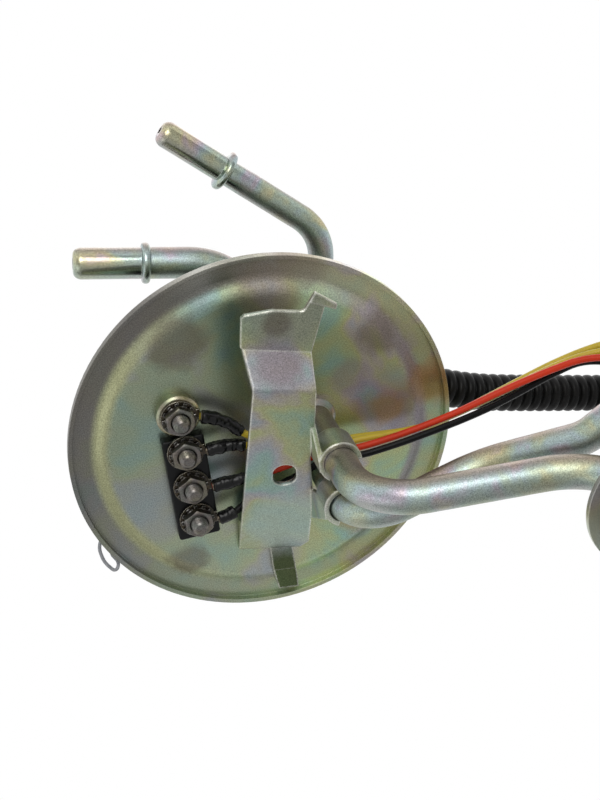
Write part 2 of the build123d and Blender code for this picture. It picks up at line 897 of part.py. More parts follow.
# pump: a steel can with a moulded end cap on top and a turbine stage at the bottom


def pump_case():
    can = pipe(pump_radius, can_bore, case_bottom, case_top, pump_x, pump_y)
    lip_radius = pump_radius - case_wall - crimp
    can += pipe(pump_radius, lip_radius, case_top - case_wall, case_top, pump_x, pump_y)
    can += pipe(pump_radius, lip_radius, case_bottom, case_bottom + case_wall, pump_x, pump_y)
    rims = [edge for edge in can.edges() if abs(edge.length - 2 * math.pi * pump_radius) < 0.1]
    return fillet(rims, case_wall * 0.7)


def pump_end_cap():
    """Moulded cap: outlet nipple, terminal holes, top bearing seat and two brush holders."""
    shoulder = case_top - case_wall - seat_clearance
    cap = rod(seat_radius, cap_low, shoulder, pump_x, pump_y)
    cap += rod(seat_radius - crimp - 0.4, shoulder, cap_deck, pump_x, pump_y)
    nipple = rod(nipple_radius, cap_deck, nipple_top, pump_x, pump_y)
    cap += chamfer(nipple.faces().sort_by(Axis.Z)[-1].edges(), 0.6)
    cap += rod(nipple_radius + 1.2, cap_deck, hose_bottom - 0.1, pump_x, pump_y)
    for side in (-1, 1):
        middle_y = pump_y + side * (commutator_radius + holder_reach) / 2
        outer = brush_size + 2 * (brush_gap + holder_wall)
        length = holder_reach - commutator_radius - 1.0
        cap += Pos(pump_x, middle_y, (cap_low + brush_middle - outer / 2) / 2) * Box(
            outer, length, cap_low - brush_middle + outer / 2
        )
    slot = brush_size + 2 * brush_gap
    cap -= Pos(pump_x, pump_y, brush_middle) * Box(slot, 2 * (holder_reach - holder_wall), slot)
    cap -= rod(nipple_bore, valve_seat, nipple_top + 1, pump_x, pump_y)
    cap -= rod(valve_seat_radius, cap_deck - 1.4, valve_seat + 1, pump_x, pump_y)
    passage = Pos(pump_x + port_offset / 2, pump_y, cap_deck - 0.7)
    cap -= passage * Box(port_offset, 1.6, 1.4)
    cap -= rod(1.5, cap_low - 1, cap_deck - 0.2, pump_x + port_offset, pump_y)
    cap -= rod(bush_radius + 0.02, cap_low - 1, cap_low + bush_length, pump_x, pump_y)
    for x, y in terminal_places:
        cap -= rod(terminal_post_radius + 0.05, cap_low - 1, cap_deck + 1, x, y)
    return cap


def pump_terminals():
    posts = []
    for x, y in terminal_places:
        post = rod(terminal_post_radius, cap_low, terminal_top, x, y)
        post += rod(terminal_post_radius + 1.0, cap_deck, cap_deck + 1.2, x, y)
        posts.append(post - rod(lead_radius + 0.08, -116.1, terminal_top + 1, x, y))
    return posts


def valve_poppet():
    stem = rod(nipple_bore - 0.35, valve_seat, valve_seat + 2.2, pump_x, pump_y)
    stem += rod(1.1, valve_seat + 2.2, valve_seat + 4.2, pump_x, pump_y)
    return chamfer(stem.faces().sort_by(Axis.Z)[0].edges(), 0.4)


def coil_spring(radius, wire, low, high, turns):
    path = Helix((high - low - 2 * wire) / turns, high - low - 2 * wire, radius)
    section = Plane(origin=path @ 0, z_dir=path % 0) * Circle(wire)
    return lift(low + wire) * sweep(section, path=path)


def valve_spring():
    low = valve_seat + 2.25
    high = nipple_top - retainer_height - 0.5
    return lift(0, pump_x, pump_y) * coil_spring(spring_radius, spring_wire, low, high, 6)


def valve_retainer():
    top = nipple_top - 0.4
    return pipe(nipple_bore - 0.02, 1.5, top - retainer_height, top, pump_x, pump_y)


def rotor_shaft():
    return rod(shaft_radius, shaft_bottom, shaft_top, pump_x, pump_y)


def commutator():
    low = armature_top + 2.4
    ring = pipe(commutator_radius, shaft_radius, low, commutator_top, pump_x, pump_y)
    bars = 8
    for index in range(bars):
        groove = Rot(0, 0, 360 / bars * index) * Pos(commutator_radius, 0, 0) * Box(1.2, 0.5, 20)
        ring -= lift(low, pump_x, pump_y) * groove
    return ring


def armature_core():
    core = rod(armature_radius, armature_bottom, armature_top, pump_x, pump_y)
    for index in range(slot_count):
        turn = Pos(pump_x, pump_y, 0) * Rot(0, 0, 360 / slot_count * index)
        core -= turn * rod(slot_radius, armature_bottom - 1, armature_top + 1, slot_circle, 0)
        core -= turn * Pos(slot_circle + 3, 0, (armature_top + armature_bottom) / 2) * Box(6, 1.2, 60)
    return core - rod(shaft_radius, armature_bottom - 1, armature_top + 1, pump_x, pump_y)


def armature_windings():
    """Wire bundles in the core's slots, joined by the end turns above and below it."""
    outer, inner = slot_circle + slot_radius - 0.6, shaft_radius + 3.6
    windings = pipe(outer, inner, armature_top + 0.05, armature_top + 2.3, pump_x, pump_y)
    windings += pipe(outer, inner, armature_bottom - 2.3, armature_bottom - 0.05, pump_x, pump_y)
    for index in range(slot_count):
        turn = Pos(pump_x, pump_y, 0) * Rot(0, 0, 360 / slot_count * index)
        windings += turn * rod(slot_radius - 0.15, armature_bottom - 0.5, armature_top + 0.5, slot_circle, 0)
    return windings


def magnets():
    low, high = armature_bottom - 1.0, armature_top + 1.0
    shells = []
    for centre in (0, 180):
        ring = pipe(seat_radius, seat_radius - magnet_wall, low, high, pump_x, pump_y)
        start = math.radians(centre - magnet_span / 2)
        end = math.radians(centre + magnet_span / 2)
        reach = pump_radius * 3
        wedge = [
            (pump_x, pump_y),
            (pump_x + reach * math.cos(start), pump_y + reach * math.sin(start)),
            (pump_x + reach * math.cos((start + end) / 2), pump_y + reach * math.sin((start + end) / 2)),
            (pump_x + reach * math.cos(end), pump_y + reach * math.sin(end)),
        ]
        shells.append(ring & slab(wedge, low - 1, high + 1))
    return shells


def brushes():
    blocks = []
    for side in (-1, 1):
        middle_y = pump_y + side * (commutator_radius + 0.1 + brush_length / 2)
        blocks.append(Pos(pump_x, middle_y, brush_middle) * Box(brush_size, brush_length, brush_size))
    return blocks


def brush_springs():
    springs = []
    start = commutator_radius + 0.1 + brush_length
    for side in (-1, 1):
        spring = coil_spring(1.2, 0.15, start + 0.02, holder_reach - holder_wall - 0.1, 4)
        springs.append(Pos(pump_x, pump_y, brush_middle) * Rot(-90 * side, 0, 0) * spring)
    return springs


def bearings():
    bore = shaft_radius + running_clearance
    upper = pipe(bush_radius, bore, cap_low, cap_low + bush_length, pump_x, pump_y)
    lower = pipe(bush_radius, bore, body_top - bush_length, body_top, pump_x, pump_y)
    return [upper, lower]


def pump_body():
    """Plate between the motor and the turbine, with the lower bearing and the outlet port."""
    body = rod(seat_radius, body_bottom, body_top, pump_x, pump_y)
    body -= rod(bush_radius + 0.02, body_top - bush_length, body_top + 1, pump_x, pump_y)
    body -= rod(shaft_radius + 0.4, body_bottom - 1, body_top, pump_x, pump_y)
    return body - rod(2.0, body_bottom - 1, body_top + 1, pump_x + 10.5, pump_y)


def impeller():
    wheel = pipe(impeller_radius, shaft_radius, impeller_low, impeller_top, pump_x, pump_y)
    for index in range(impeller_blades):
        turn = Pos(pump_x, pump_y, impeller_low) * Rot(0, 0, 360 / impeller_blades * index)
        wheel -= turn * Pos(impeller_radius - 0.9, 0, 0) * Box(2.2, 1.5, impeller_height * 4)
    return wheel


def inlet_cover():
    cover = rod(seat_radius, cover_seat, body_bottom, pump_x, pump_y)
    cover += rod(seat_radius - crimp - 0.4, cover_low, cover_seat, pump_x, pump_y)
    cover += rod(inlet_spigot_radius, inlet_spigot_end, cover_low, pump_x - inlet_offset, pump_y)
    cover -= rod(impeller_radius + impeller_clearance, cavity_low, body_bottom + 1, pump_x, pump_y)
    return cover - rod(inlet_bore, inlet_spigot_end - 1, cavity_low + 1, pump_x - inlet_offset, pump_y)


# bracket that carries the pump, its rubber seat and the strainer


def pump_bracket():
    lug_high = lug_face + pump_sheet
    low_y, high_y = pump_y - strap_width / 2, pump_y + strap_width / 2

    def plate_between(start_x, low, high):
        corners = [(start_x, low_y), (wall_outer, low_y), (wall_outer, high_y), (start_x, high_y)]
        return slab(corners, low, high)

    lug = rod(pump_radius, lug_face, lug_high, pump_x, pump_y)
    lug += plate_between(pump_x, lug_face, lug_high)
    wall = plate_between(wall_inner, foot_low, lug_high)
    foot = plate_between(wall_outer - foot_length - pump_sheet, foot_low, foot_low + pump_sheet)
    bracket = lug + wall + foot
    for z in (lug_high, foot_low):
        bracket = fillet(nearest_edge(bracket, (wall_outer, pump_y, z)), pump_sheet * 0.9)
    bracket -= rod(tube_radius + hole_clearance, lug_face - 1, lug_high + 1, pump_x, pump_y)
    opening = inlet_spigot_radius + isolator_wall + 0.2
    bracket -= rod(opening, foot_low - 1, foot_low + pump_sheet + 1, pump_x - inlet_offset, pump_y)
    for y, z in rivet_places:
        hole = Pos(wall_inner, y, z) * Rot(0, 90, 0) * Cylinder(rivet_radius + hole_clearance, pump_sheet * 4)
        bracket -= hole
    return bracket


def pump_isolator():
    pad = rod(seat_radius - crimp - 1.5, isolator_low, cover_low, pump_x, pump_y)
    pad += rod(inlet_spigot_radius + isolator_wall, foot_low, isolator_low, pump_x - inlet_offset, pump_y)
    return pad - rod(inlet_spigot_radius, foot_low - 1, cover_low + 1, pump_x - inlet_offset, pump_y)


def strainer_neck():
    """Stiff moulded neck of the strainer, pushed over the inlet spigot."""
    x = pump_x - inlet_offset
    neck = rod(neck_radius, inlet_spigot_end - 1.5, neck_top, x, pump_y)
    neck += rod(neck_radius + 3.0, inlet_spigot_end - 1.5, inlet_spigot_end - 0.1, x, pump_y)
    neck -= rod(inlet_spigot_radius + 0.03, inlet_spigot_end - 0.05, neck_top + 1, x, pump_y)
    return neck - rod(inlet_bore, inlet_spigot_end - 3, inlet_spigot_end, x, pump_y)


def strainer_sock():
    """Flat filter bag under the pump."""
    top = inlet_spigot_end - 1.6
    place = Pos(pump_x - inlet_offset, pump_y, top - sock_height / 2)
    bag = place * Box(sock_length, sock_width, sock_height)
    bag = fillet(bag.edges().filter_by(Axis.Z), sock_end_radius)
    return fillet(bag.edges().filter_by(GeomType.LINE, reverse=True).group_by(Axis.Z)[0], sock_corner)


# level sender: a housing with a resistor card, and a float arm that swings about X


def sender_housing():
    middle_x = (housing_low_x + housing_high_x) / 2
    middle_z = (housing_top + housing_bottom) / 2
    tall = housing_top - housing_bottom
    body = Pos(middle_x, pivot_y, middle_z) * Box(housing_depth, housing_width, tall)
    body = fillet(body.edges().filter_by(Axis.X), housing_corner)
    room_top, room_low = housing_top - room_below_top, housing_bottom + room_above_bottom
    body -= Pos(middle_x, pivot_y, (room_top + room_low) / 2) * Box(
        housing_depth - 2 * housing_wall, housing_width - 2 * housing_wall, room_top - room_low
    )
    turned = Rot(0, 90, 0)
    boss_place = Pos(housing_high_x + boss_height / 2, pivot_y, pivot_z)
    body += boss_place * turned * Cylinder(pivot_boss, boss_height)
    body -= Pos(housing_high_x, pivot_y, pivot_z) * turned * Cylinder(arm_radius + running_clearance, 6.0)
    for x, y in lead_entries:
        body -= rod(lead_radius + hole_clearance, housing_top - entry_depth, housing_top + 1, x, y)
    for y, z in rivet_places:
        body -= Pos(middle_x, y, z) * turned * Cylinder(rivet_radius + hole_clearance, housing_depth + 2)
    return body


def resistor_card():
    low, high = pivot_z + card_low, pivot_z + card_high
    middle_x = inside_low_x + card_gap + card_sheet / 2
    return Pos(middle_x, pivot_y, (low + high) / 2) * Box(card_sheet, card_width, high - low)


def wiper():
    """Contact arm inside the housing. It points up when the float is at mid travel."""
    x = inside_low_x + card_gap + card_sheet + 0.3
    turned = Rot(0, 90, 0)
    hub = Pos(x + 1.9, pivot_y, pivot_z) * turned * Cylinder(3.2, 3.8)
    lean = Pos(0, pivot_y, pivot_z) * Rot(-float_travel / 2, 0, 0)
    blade = lean * Pos(x + wiper_sheet / 2, 0, wiper_reach / 2) * Box(wiper_sheet, wiper_width, wiper_reach)
    return hub + blade - Pos(x + 1.9, pivot_y, pivot_z) * turned * Cylinder(arm_radius + 0.01, 6.0)


def arm_end():
    droop = math.radians(arm_droop)
    return (pivot_y + arm_reach * math.cos(droop), pivot_z - arm_reach * math.sin(droop))


def float_arm():
    end_y, end_z = arm_end()
    start_x = inside_low_x + card_gap + card_sheet + 0.4
    tip_x = float_middle_x - float_length / 2 - 2.2
    pivot_end, corner = (start_x, pivot_y, pivot_z), (arm_x, pivot_y, pivot_z)
    far_corner, tip = (arm_x, end_y, end_z), (tip_x, end_y, end_z)
    return swept(FilletPolyline(pivot_end, corner, far_corner, tip, radius=arm_bend), arm_radius)


def level_float():
    end_y, end_z = arm_end()
    turned = Rot(0, 90, 0)
    body = Pos(float_middle_x, end_y, end_z) * turned * Cylinder(float_radius, float_length)
    body = fillet([e for e in body.edges() if e.length > 60 and e.geom_type == GeomType.CIRCLE], 1.5)
    return body - Pos(float_middle_x, end_y, end_z) * turned * Cylinder(float_bore, float_length * 2)


def float_clip():
    """Push-on washer that keeps the float on its arm."""
    end_y, end_z = arm_end()
    x = float_middle_x - float_length / 2 - 0.7
    ring = Cylinder(3.4, 0.6) - Cylinder(arm_radius, 2.0)
    return Pos(x, end_y, end_z) * Rot(0, 90, 0) * ring


def sender_rivets():
    rivets = []
    for y, z in rivet_places:
        low, high = wall_inner, housing_high_x
        turned = Rot(0, 90, 0)
        rivet = Pos((low + high) / 2, y, z) * turned * Cylinder(rivet_radius, high - low)
        rivet += Pos(high + 0.5, y, z) * turned * Cylinder(rivet_radius + 1.2, 1.0)
        rivets.append(rivet + Pos(low - 0.3, y, z) * turned * Cylinder(rivet_radius + 0.9, 0.6))
    return rivets


def yellow_lead():
    return lead(yellow_route)


def second_yellow_lead():
    return lead(second_yellow_route)


def red_lead():
    return lead(red_route)


def black_lead():
    return lead(black_route)


makers = [
    mounting_plate, supply_tube, return_tube, braze_rings, tube_bracket,
    terminal_block, ground_boss, terminal_studs, star_washers, terminal_nuts, ring_terminals,
    lead_sleeves, yellow_lead, second_yellow_lead, red_lead, black_lead,
    terminal_cover, harness_conduit, harness_plug, tag_loop,
    supply_hose, hose_clamps, pump_case, pump_end_cap, pump_terminals,
    valve_poppet, valve_spring, valve_retainer, rotor_shaft, commutator, armature_core,
    armature_windings, magnets, brushes, brush_springs, bearings, pump_body, impeller, inlet_cover,
    pump_bracket, pump_isolator, strainer_neck, strainer_sock,
    sender_housing, resistor_card, wiper, float_arm, level_float, float_clip, sender_rivets,
]


def write_parts():
    os.makedirs("parts", exist_ok=True)
    for maker in makers:
        shape = maker()
        if isinstance(shape, list):
            shape = Compound(children=[Part() + piece for piece in shape])
        export_step(shape, f"parts/{maker.__name__}.step")
        print(maker.__name__, len(shape.solids()), round(shape.volume, 1), flush=True)
    for name, route in (("conduit", conduit_route), ("loop", loop_route)):
        path = easy_path(route)
        print(name, "length", round(path.length, 1), "radii", [round(r, 1) for r in easy_radii(route)])


if __name__ == "__main__":
    write_parts()
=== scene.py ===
import json
import math

import bmesh
import bpy
from mathutils import Matrix, Vector, noise


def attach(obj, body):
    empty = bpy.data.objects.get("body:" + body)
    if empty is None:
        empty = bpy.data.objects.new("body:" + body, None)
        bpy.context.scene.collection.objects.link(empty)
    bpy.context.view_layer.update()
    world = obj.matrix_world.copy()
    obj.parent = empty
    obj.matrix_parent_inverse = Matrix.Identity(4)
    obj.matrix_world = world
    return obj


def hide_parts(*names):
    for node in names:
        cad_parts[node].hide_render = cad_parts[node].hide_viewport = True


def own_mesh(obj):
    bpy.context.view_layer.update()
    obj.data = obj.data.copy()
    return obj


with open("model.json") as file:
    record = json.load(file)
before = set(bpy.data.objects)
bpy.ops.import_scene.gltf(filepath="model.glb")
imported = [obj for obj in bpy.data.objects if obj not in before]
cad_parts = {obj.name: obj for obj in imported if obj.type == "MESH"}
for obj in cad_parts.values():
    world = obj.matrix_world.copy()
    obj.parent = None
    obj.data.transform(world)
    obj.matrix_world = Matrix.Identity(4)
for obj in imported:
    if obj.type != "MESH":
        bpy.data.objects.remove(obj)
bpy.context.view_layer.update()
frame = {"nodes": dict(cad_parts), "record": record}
nodes = frame["nodes"]
scene = bpy.context.scene
scene.view_settings.view_transform = "Standard"
mm = 0.001


def placeObject(name, data):
    made = bpy.data.objects.new(name, data)
    scene.collection.objects.link(made)
    return made


# camera: looks up at the tank side of the plate from below, a little to one side

camera = {
    "place": (-56.8 * mm, -208.3 * mm, -357.5 * mm),
    "up": (0.2224, -0.8691, 0.4410),
    "back": (-0.1670, -0.4796, -0.8610),
    "focalPixels": 1400.0,
    "tallPixels": 800.0,
    "sensor": 36.0,
    "clip": (0.01, 20.0),
}


def makeCamera(facts):
    data = bpy.data.cameras.new("camera")
    data.sensor_width = facts["sensor"]
    data.lens = facts["sensor"] * facts["focalPixels"] / facts["tallPixels"]
    data.clip_start, data.clip_end = facts["clip"]
    made = placeObject("camera", data)
    back = Vector(facts["back"]).normalized()
    right = Vector(facts["up"]).cross(back).normalized()
    up = back.cross(right)
    turn = Matrix((right, up, back)).transposed()
    made.matrix_world = Matrix.Translation(facts["place"]) @ turn.to_4x4()
    scene.camera = made


makeCamera(camera)
print("camera made")


# mesh helpers

lineSteps = 24  # steps between two control points of a smooth line


def makePiece(name, points, faces):
    mesh = bpy.data.meshes.new(name)
    mesh.from_pydata(points, [], faces)
    mesh.validate()
    for face in mesh.polygons:
        face.use_smooth = True
    return placeObject(name, mesh)


def joinPieces(name, parts):
    mesh = bpy.data.meshes.new(name)
    joined = bmesh.new()
    for part in parts:
        joined.from_mesh(part.data)
        bpy.data.objects.remove(part)
    joined.to_mesh(mesh)
    joined.free()
    return placeObject(name, mesh)


def smoothLine(name, controls):
    # points along one smooth curve through a route's control points
    curve = bpy.data.curves.new(name, "CURVE")
    curve.dimensions = "3D"
    curve.resolution_u = lineSteps
    spline = curve.splines.new("NURBS")
    spline.points.add(len(controls) - 1)
    for point, place in zip(spline.points, controls):
        point.co = (*place, 1.0)
    spline.order_u = 3
    spline.use_endpoint_u = True
    holder = placeObject(name, curve)
    mesh = bpy.data.meshes.new_from_object(holder)
    points = [vertex.co.copy() for vertex in mesh.vertices]
    bpy.data.objects.remove(holder)
    bpy.data.curves.remove(curve)
    bpy.data.meshes.remove(mesh)
    return points


def spaced(points, gap):
    # the same line with its points a fixed distance apart
    lengths = [0.0]
    for before, after in zip(points, points[1:]):
        lengths.append(lengths[-1] + (after - before).length)
    count = max(2, round(lengths[-1] / gap) + 1)
    found, spot = [], 0
    for index in range(count):
        target = lengths[-1] * index / (count - 1)
        while spot < len(points) - 2 and lengths[spot + 1] < target:
            spot += 1
        run = lengths[spot + 1] - lengths[spot]
        share = (target - lengths[spot]) / run if run > 1e-12 else 0.0
        found.append(points[spot].lerp(points[spot + 1], min(1.0, share)))
    return found


def carriedFrames(points):
    # a side direction at each point that turns with the line and never twists
    frames, side = [], None
    for index, point in enumerate(points):
        before, after = points[max(0, index - 1)], points[min(len(points) - 1, index + 1)]
        ahead = (after - before).normalized()
        if side is None:
            side = ahead.orthogonal().normalized()
        side = (side - ahead * side.dot(ahead)).normalized()
        frames.append((point, side, ahead.cross(side)))
    return frames


def ringFaces(rings, around, start=0):
    # sides between each ring of points and the next, and a flat end on the first and last ring
    faces = []
    for ring in range(rings - 1):
        low, high = start + ring * around, start + (ring + 1) * around
        for step in range(around):
            onward = (step + 1) % around
            faces.append((low + step, low + onward, high + onward, high + step))
    last = start + (rings - 1) * around
    return faces + [tuple(reversed(range(start, start + around))), tuple(range(last, last + around))]


def tubeAlong(name, points, radiusAt, around):
    # radiusAt(distance, angle) gives the outside radius
    verts, distance = [], 0.0
    frames = carriedFrames(points)
    for index, (point, side, other) in enumerate(frames):
        if index:
            distance += (point - frames[index - 1][0]).length
        for step in range(around):
            angle = 2 * math.pi * step / around
            reach = radiusAt(distance, angle)
            verts.append(point + side * math.cos(angle) * reach + other * math.sin(angle) * reach)
    return makePiece(name, verts, ringFaces(len(frames), around))


# harness conduit: stiff corrugated tube from the terminal cover to its plug

conduit = {
    "route": [
        (-14.0, -15.2, 8.0), (6.5, -17.4, 8.4), (27.5, -14.2, 8.2), (46.5, -4.0, 8.4),
        (66.0, 6.4, 9.6), (88.0, 13.7, 12.0), (111.0, 20.3, 13.8), (134.0, 25.8, 13.0),
        (155.0, 28.2, 10.4),
    ],
    "radius": 5.9 * mm,
    "ribDepth": 1.5 * mm,
    "ribPitch": 3.5 * mm,
    "ribFall": 2.3,  # how quickly a rib falls to its groove
    "ribCrest": (2.7, 0.6),  # how square its crest is, and how steep its sides
    "ringsPerRib": 12,
    "around": 48,
    "length": 177.4 * mm,
}


def ribHeight(share, facts):
    # broad rounded crest with a narrow groove: 1 on the crest and 0 in the groove
    away = abs(share - 0.5) * facts["ribFall"]
    full, soft = facts["ribCrest"]
    return (1 - away ** full) ** soft if away < 1 else 0.0


def makeConduit(facts):
    route = [Vector(point) * mm for point in facts["route"]]
    line = spaced(smoothLine("conduitLine", route), facts["ribPitch"] / facts["ringsPerRib"])

    def radiusAt(distance, angle):
        share = (distance / facts["ribPitch"]) % 1.0
        return facts["radius"] - facts["ribDepth"] * (1 - ribHeight(share, facts))

    made = tubeAlong("conduitTube", line, radiusAt, facts["around"])
    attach(made, "plate")
    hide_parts("harness_conduit")
    return made


conduitTube = makeConduit(conduit)
print("conduit made")


# fuel tubes: bent steel with rounded noses and rolled beads outside the plate

fuelTubes = {
    "supplyTube": {
        "points": [(-43.2, -52.2, 35.0), (4.6, -43.2, 31.7), (15.9, -3.3, 31.7), (15.9, -3.3, -54.1),
                   (83.0, -5.9, -65.6), (83.0, -5.9, -102.0)],
        "bends": [23.5, 15.0, 19.9, 24.0],
        "radii": [(0.0, 4.765)],  # height and outside radius
        "bead": 20.2,
        "node": "supply_tube",
    },
    "returnTube": {
        "points": [(-10.4, -85.6, 39.0), (34.3, -45.2, 34.0), (15.5, 10.9, 34.0), (15.5, 10.9, -41.8),
                   (53.7, 2.9, -38.7), (78.4, -8.4, -55.0), (105.8, -35.0, -67.2), (105.8, -35.0, -172.0)],
        "bends": [15.6, 15.0, 14.0, 25.0, 16.0, 14.0],
        "radii": [(12.0, 3.97), (9.0, 4.765)],
        "bead": 21.4,
        "node": "return_tube",
    },
}
tubeForm = {
    "wall": 0.9,
    "beadRadius": 6.2,
    "beadWidth": 2.6,
    "beadRound": (2.8, 0.45),
    "nose": 2.6,
    "noseInset": 2.1,
    "outsideRun": 60,  # length at the outside end that keeps one radius
    "noseRun": 3,  # the bore widens after this many times the length up to the bead
    "dent": 0.035,
    "dentScale": 0.28,
    "around": 48,
    "fine": 0.13,
    "coarse": 0.7,
    "sharp": 50,
}


def roundedLine(points, bends, gap):
    # straight runs joined by arcs of the given radii, as evenly spaced points
    corners = [Vector(point) for point in points]
    found = [corners[0]]
    for before, corner, after, bend in zip(corners, corners[1:], corners[2:], bends):
        arriving, leaving = (corner - before).normalized(), (after - corner).normalized()
        turn = arriving.angle(leaving)
        reach = bend * math.tan(turn / 2)
        inward = (leaving - arriving).normalized()
        centre = corner + inward * (bend / math.cos(turn / 2))
        steps = max(4, round(bend * turn / gap))
        start = corner - arriving * reach - centre
        axis = arriving.cross(leaving).normalized()
        for step in range(steps + 1):
            found.append(centre + Matrix.Rotation(turn * step / steps, 3, axis) @ start)
    found.append(corners[-1])
    return spaced(found, gap)


def outsideRadius(radii, height, distance, form):
    # the return tube widens just below the plate
    (high, first), (low, last) = radii[0], radii[-1]
    if len(radii) == 1 or height > high or distance < form["outsideRun"]:
        return first
    return first + (last - first) * min(1.0, (high - height) / (high - low))


def makeFuelTube(name, facts, form):
    line = roundedLine(facts["points"], facts["bends"], form["fine"])
    step = (line[1] - line[0]).length
    busy = facts["bead"] + form["beadWidth"] + 1
    coarse = round(form["coarse"] / step)
    kept = [index for index in range(len(line)) if index * step < busy or index % coarse == 0]
    if kept[-1] != len(line) - 1:
        kept.append(len(line) - 1)
    frames = carriedFrames(line)
    around = form["around"]
    full, soft = form["beadRound"]
    verts, faces, outer = [], [], []
    for index in kept:
        distance = index * step
        point, side, other = frames[index]
        radius = outsideRadius(facts["radii"], point.z, distance, form)
        along = min(1.0, distance / form["nose"])
        radius -= form["noseInset"] * (1 - math.sqrt(1 - (1 - along) ** 2))
        away = abs(distance - facts["bead"] - form["beadWidth"] / 2) / (form["beadWidth"] / 2)
        if away < 1:
            radius += (form["beadRadius"] - radius) * (1 - away ** full) ** soft
        outer.append(radius)
        for turn in range(around):
            angle = 2 * math.pi * turn / around
            way = side * math.cos(angle) + other * math.sin(angle)
            spot = (point + way * radius) * form["dentScale"]
            dent = form["dent"] * noise.noise(spot) if distance > busy else 0.0
            verts.append((point + way * (radius + dent)) * mm)
    rings = len(kept)
    for row, index in enumerate(kept):
        point, side, other = frames[index]
        widest = facts["radii"][-1 if index * step > busy * form["noseRun"] else 0][1]
        inner = min(outer[row], widest) - form["wall"]
        for turn in range(around):
            angle = 2 * math.pi * turn / around
            verts.append((point + (side * math.cos(angle) + other * math.sin(angle)) * inner) * mm)
    for row in range(rings - 1):
        for turn in range(around):
            onward = (turn + 1) % around
            low, high = row * around, (row + 1) * around
            faces.append((low + turn, low + onward, high + onward, high + turn))
            low, high = low + rings * around, high + rings * around
            faces.append((low + turn, high + turn, high + onward, low + onward))
    for row, flip in ((0, False), (rings - 1, True)):
        for turn in range(around):
            onward = (turn + 1) % around
            low, high = row * around, (row + rings) * around
            loop = (low + turn, high + turn, high + onward, low + onward)
            faces.append(tuple(reversed(loop)) if flip else loop)
    made = makePiece(name, verts, faces)
    made.data.set_sharp_from_angle(angle=math.radians(form["sharp"]))
    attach(made, "plate")
    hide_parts(facts["node"])
    return made


tubePieces = [makeFuelTube(name, facts, tubeForm) for name, facts in fuelTubes.items()]
print("fuel tubes made")


# terminal studs: threaded rods with hexagon heads under the outside cover

studs = {
    "x": -24.3 * mm,
    "rows": [-15.7 * mm, -4.1 * mm, 7.5 * mm, 19.1 * mm],
    "tip": -12.2 * mm,
    "shoulder": 2.3 * mm,
    "headHeight": 3.0 * mm,
    "headFlats": 8.0 * mm,
    "headSides": 6,
    "headProfile": [(0.0, 1.0), (0.8, 1.0), (1.0, 0.9)],  # shares of the head's height and of its width
    "radius": 2.5 * mm,
    "pitch": 0.8 * mm,
    "threadDepth": 0.46 * mm,
    "tipTaper": 0.9 * mm,
    "rootRound": 0.35,
    "ringsPerPitch": 10,
    "around": 44,
    "sharp": 40,
}


def makeStuds(facts):
    around, sides = facts["around"], facts["headSides"]
    corner = facts["headFlats"] / math.sqrt(3)
    gap = facts["pitch"] / facts["ringsPerPitch"]
    rings = round((facts["shoulder"] - facts["tip"]) / gap)
    verts, faces = [], []
    for y in facts["rows"]:
        start = len(verts)
        for ring in range(rings + 1):
            z = facts["tip"] + (facts["shoulder"] - facts["tip"]) * ring / rings
            for step in range(around):
                share = (z / facts["pitch"] - step / around) % 1.0
                groove = abs(share - 0.5) * 2
                groove = max(0.0, (groove - facts["rootRound"]) / (1 - facts["rootRound"]))
                reach = facts["radius"] - facts["threadDepth"] * groove
                reach = min(reach, facts["radius"] - facts["tipTaper"] + (z - facts["tip"]))
                angle = 2 * math.pi * step / around
                verts.append((facts["x"] + reach * math.cos(angle), y + reach * math.sin(angle), z))
        faces += ringFaces(rings + 1, around, start)
        start = len(verts)
        for rise, width in facts["headProfile"]:
            z, reach = facts["shoulder"] + facts["headHeight"] * rise, corner * width
            for step in range(sides):
                angle = 2 * math.pi * step / sides + math.pi / sides
                verts.append((facts["x"] + reach * math.cos(angle), y + reach * math.sin(angle), z))
        faces += ringFaces(len(facts["headProfile"]), sides, start)
    made = makePiece("threadedStuds", verts, faces)
    made.data.set_sharp_from_angle(angle=math.radians(facts["sharp"]))
    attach(made, "plate")
    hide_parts("terminal_studs")
    return made


threadedStuds = makeStuds(studs)
print("studs made")


# lead sleeves: heat-shrunk tubes over the crimps, lumpy over what they cover

sleeves = {
    "routes": [
        [(-18.5, -15.7, -7.82), (-12.3, -13.6, -7.82), (-6.5, -6.6, -8.4), (1.5, -1.3, -7.0), (8.5, 2.4, -6.4)],
        [(-18.5, -4.1, -7.82), (-12.4, -4.8, -7.82), (-5.6, -3.3, -9.1), (1.8, 0.1, -9.3), (8.5, 2.9, -9.1)],
        [(-18.5, 8.1, -7.82), (-12.4, 7.9, -7.82), (-5.2, 6.8, -9.9), (1.9, 5.5, -11.0), (8.6, 4.3, -11.4)],
        [(-18.5, 19.6, -7.82), (-13.4, 19.0, -7.9), (-8.4, 17.0, -5.8), (0.4, 12.6, -8.9), (8.4, 7.6, -12.9)],
    ],
    "starts": 0.35 * mm,
    "lengths": [13.4 * mm, 11.4 * mm, 10.4 * mm, 5.4 * mm],
    "radius": 2.02 * mm,
    "neckRadius": 1.55 * mm,
    "crimpEnd": 4.2 * mm,
    "taper": 2.5 * mm,
    "leadFit": 0.18 * mm,
    "endShare": 0.86,
    "lip": 0.5 * mm,
    "lump": 0.26 * mm,
    "lumpScale": (620, 1.1),  # along the sleeve and round it
    "lumpShift": 7.3,
    "lumpDetail": (0.5, 2.3),
    "gap": 0.12 * mm,
    "around": 28,
}


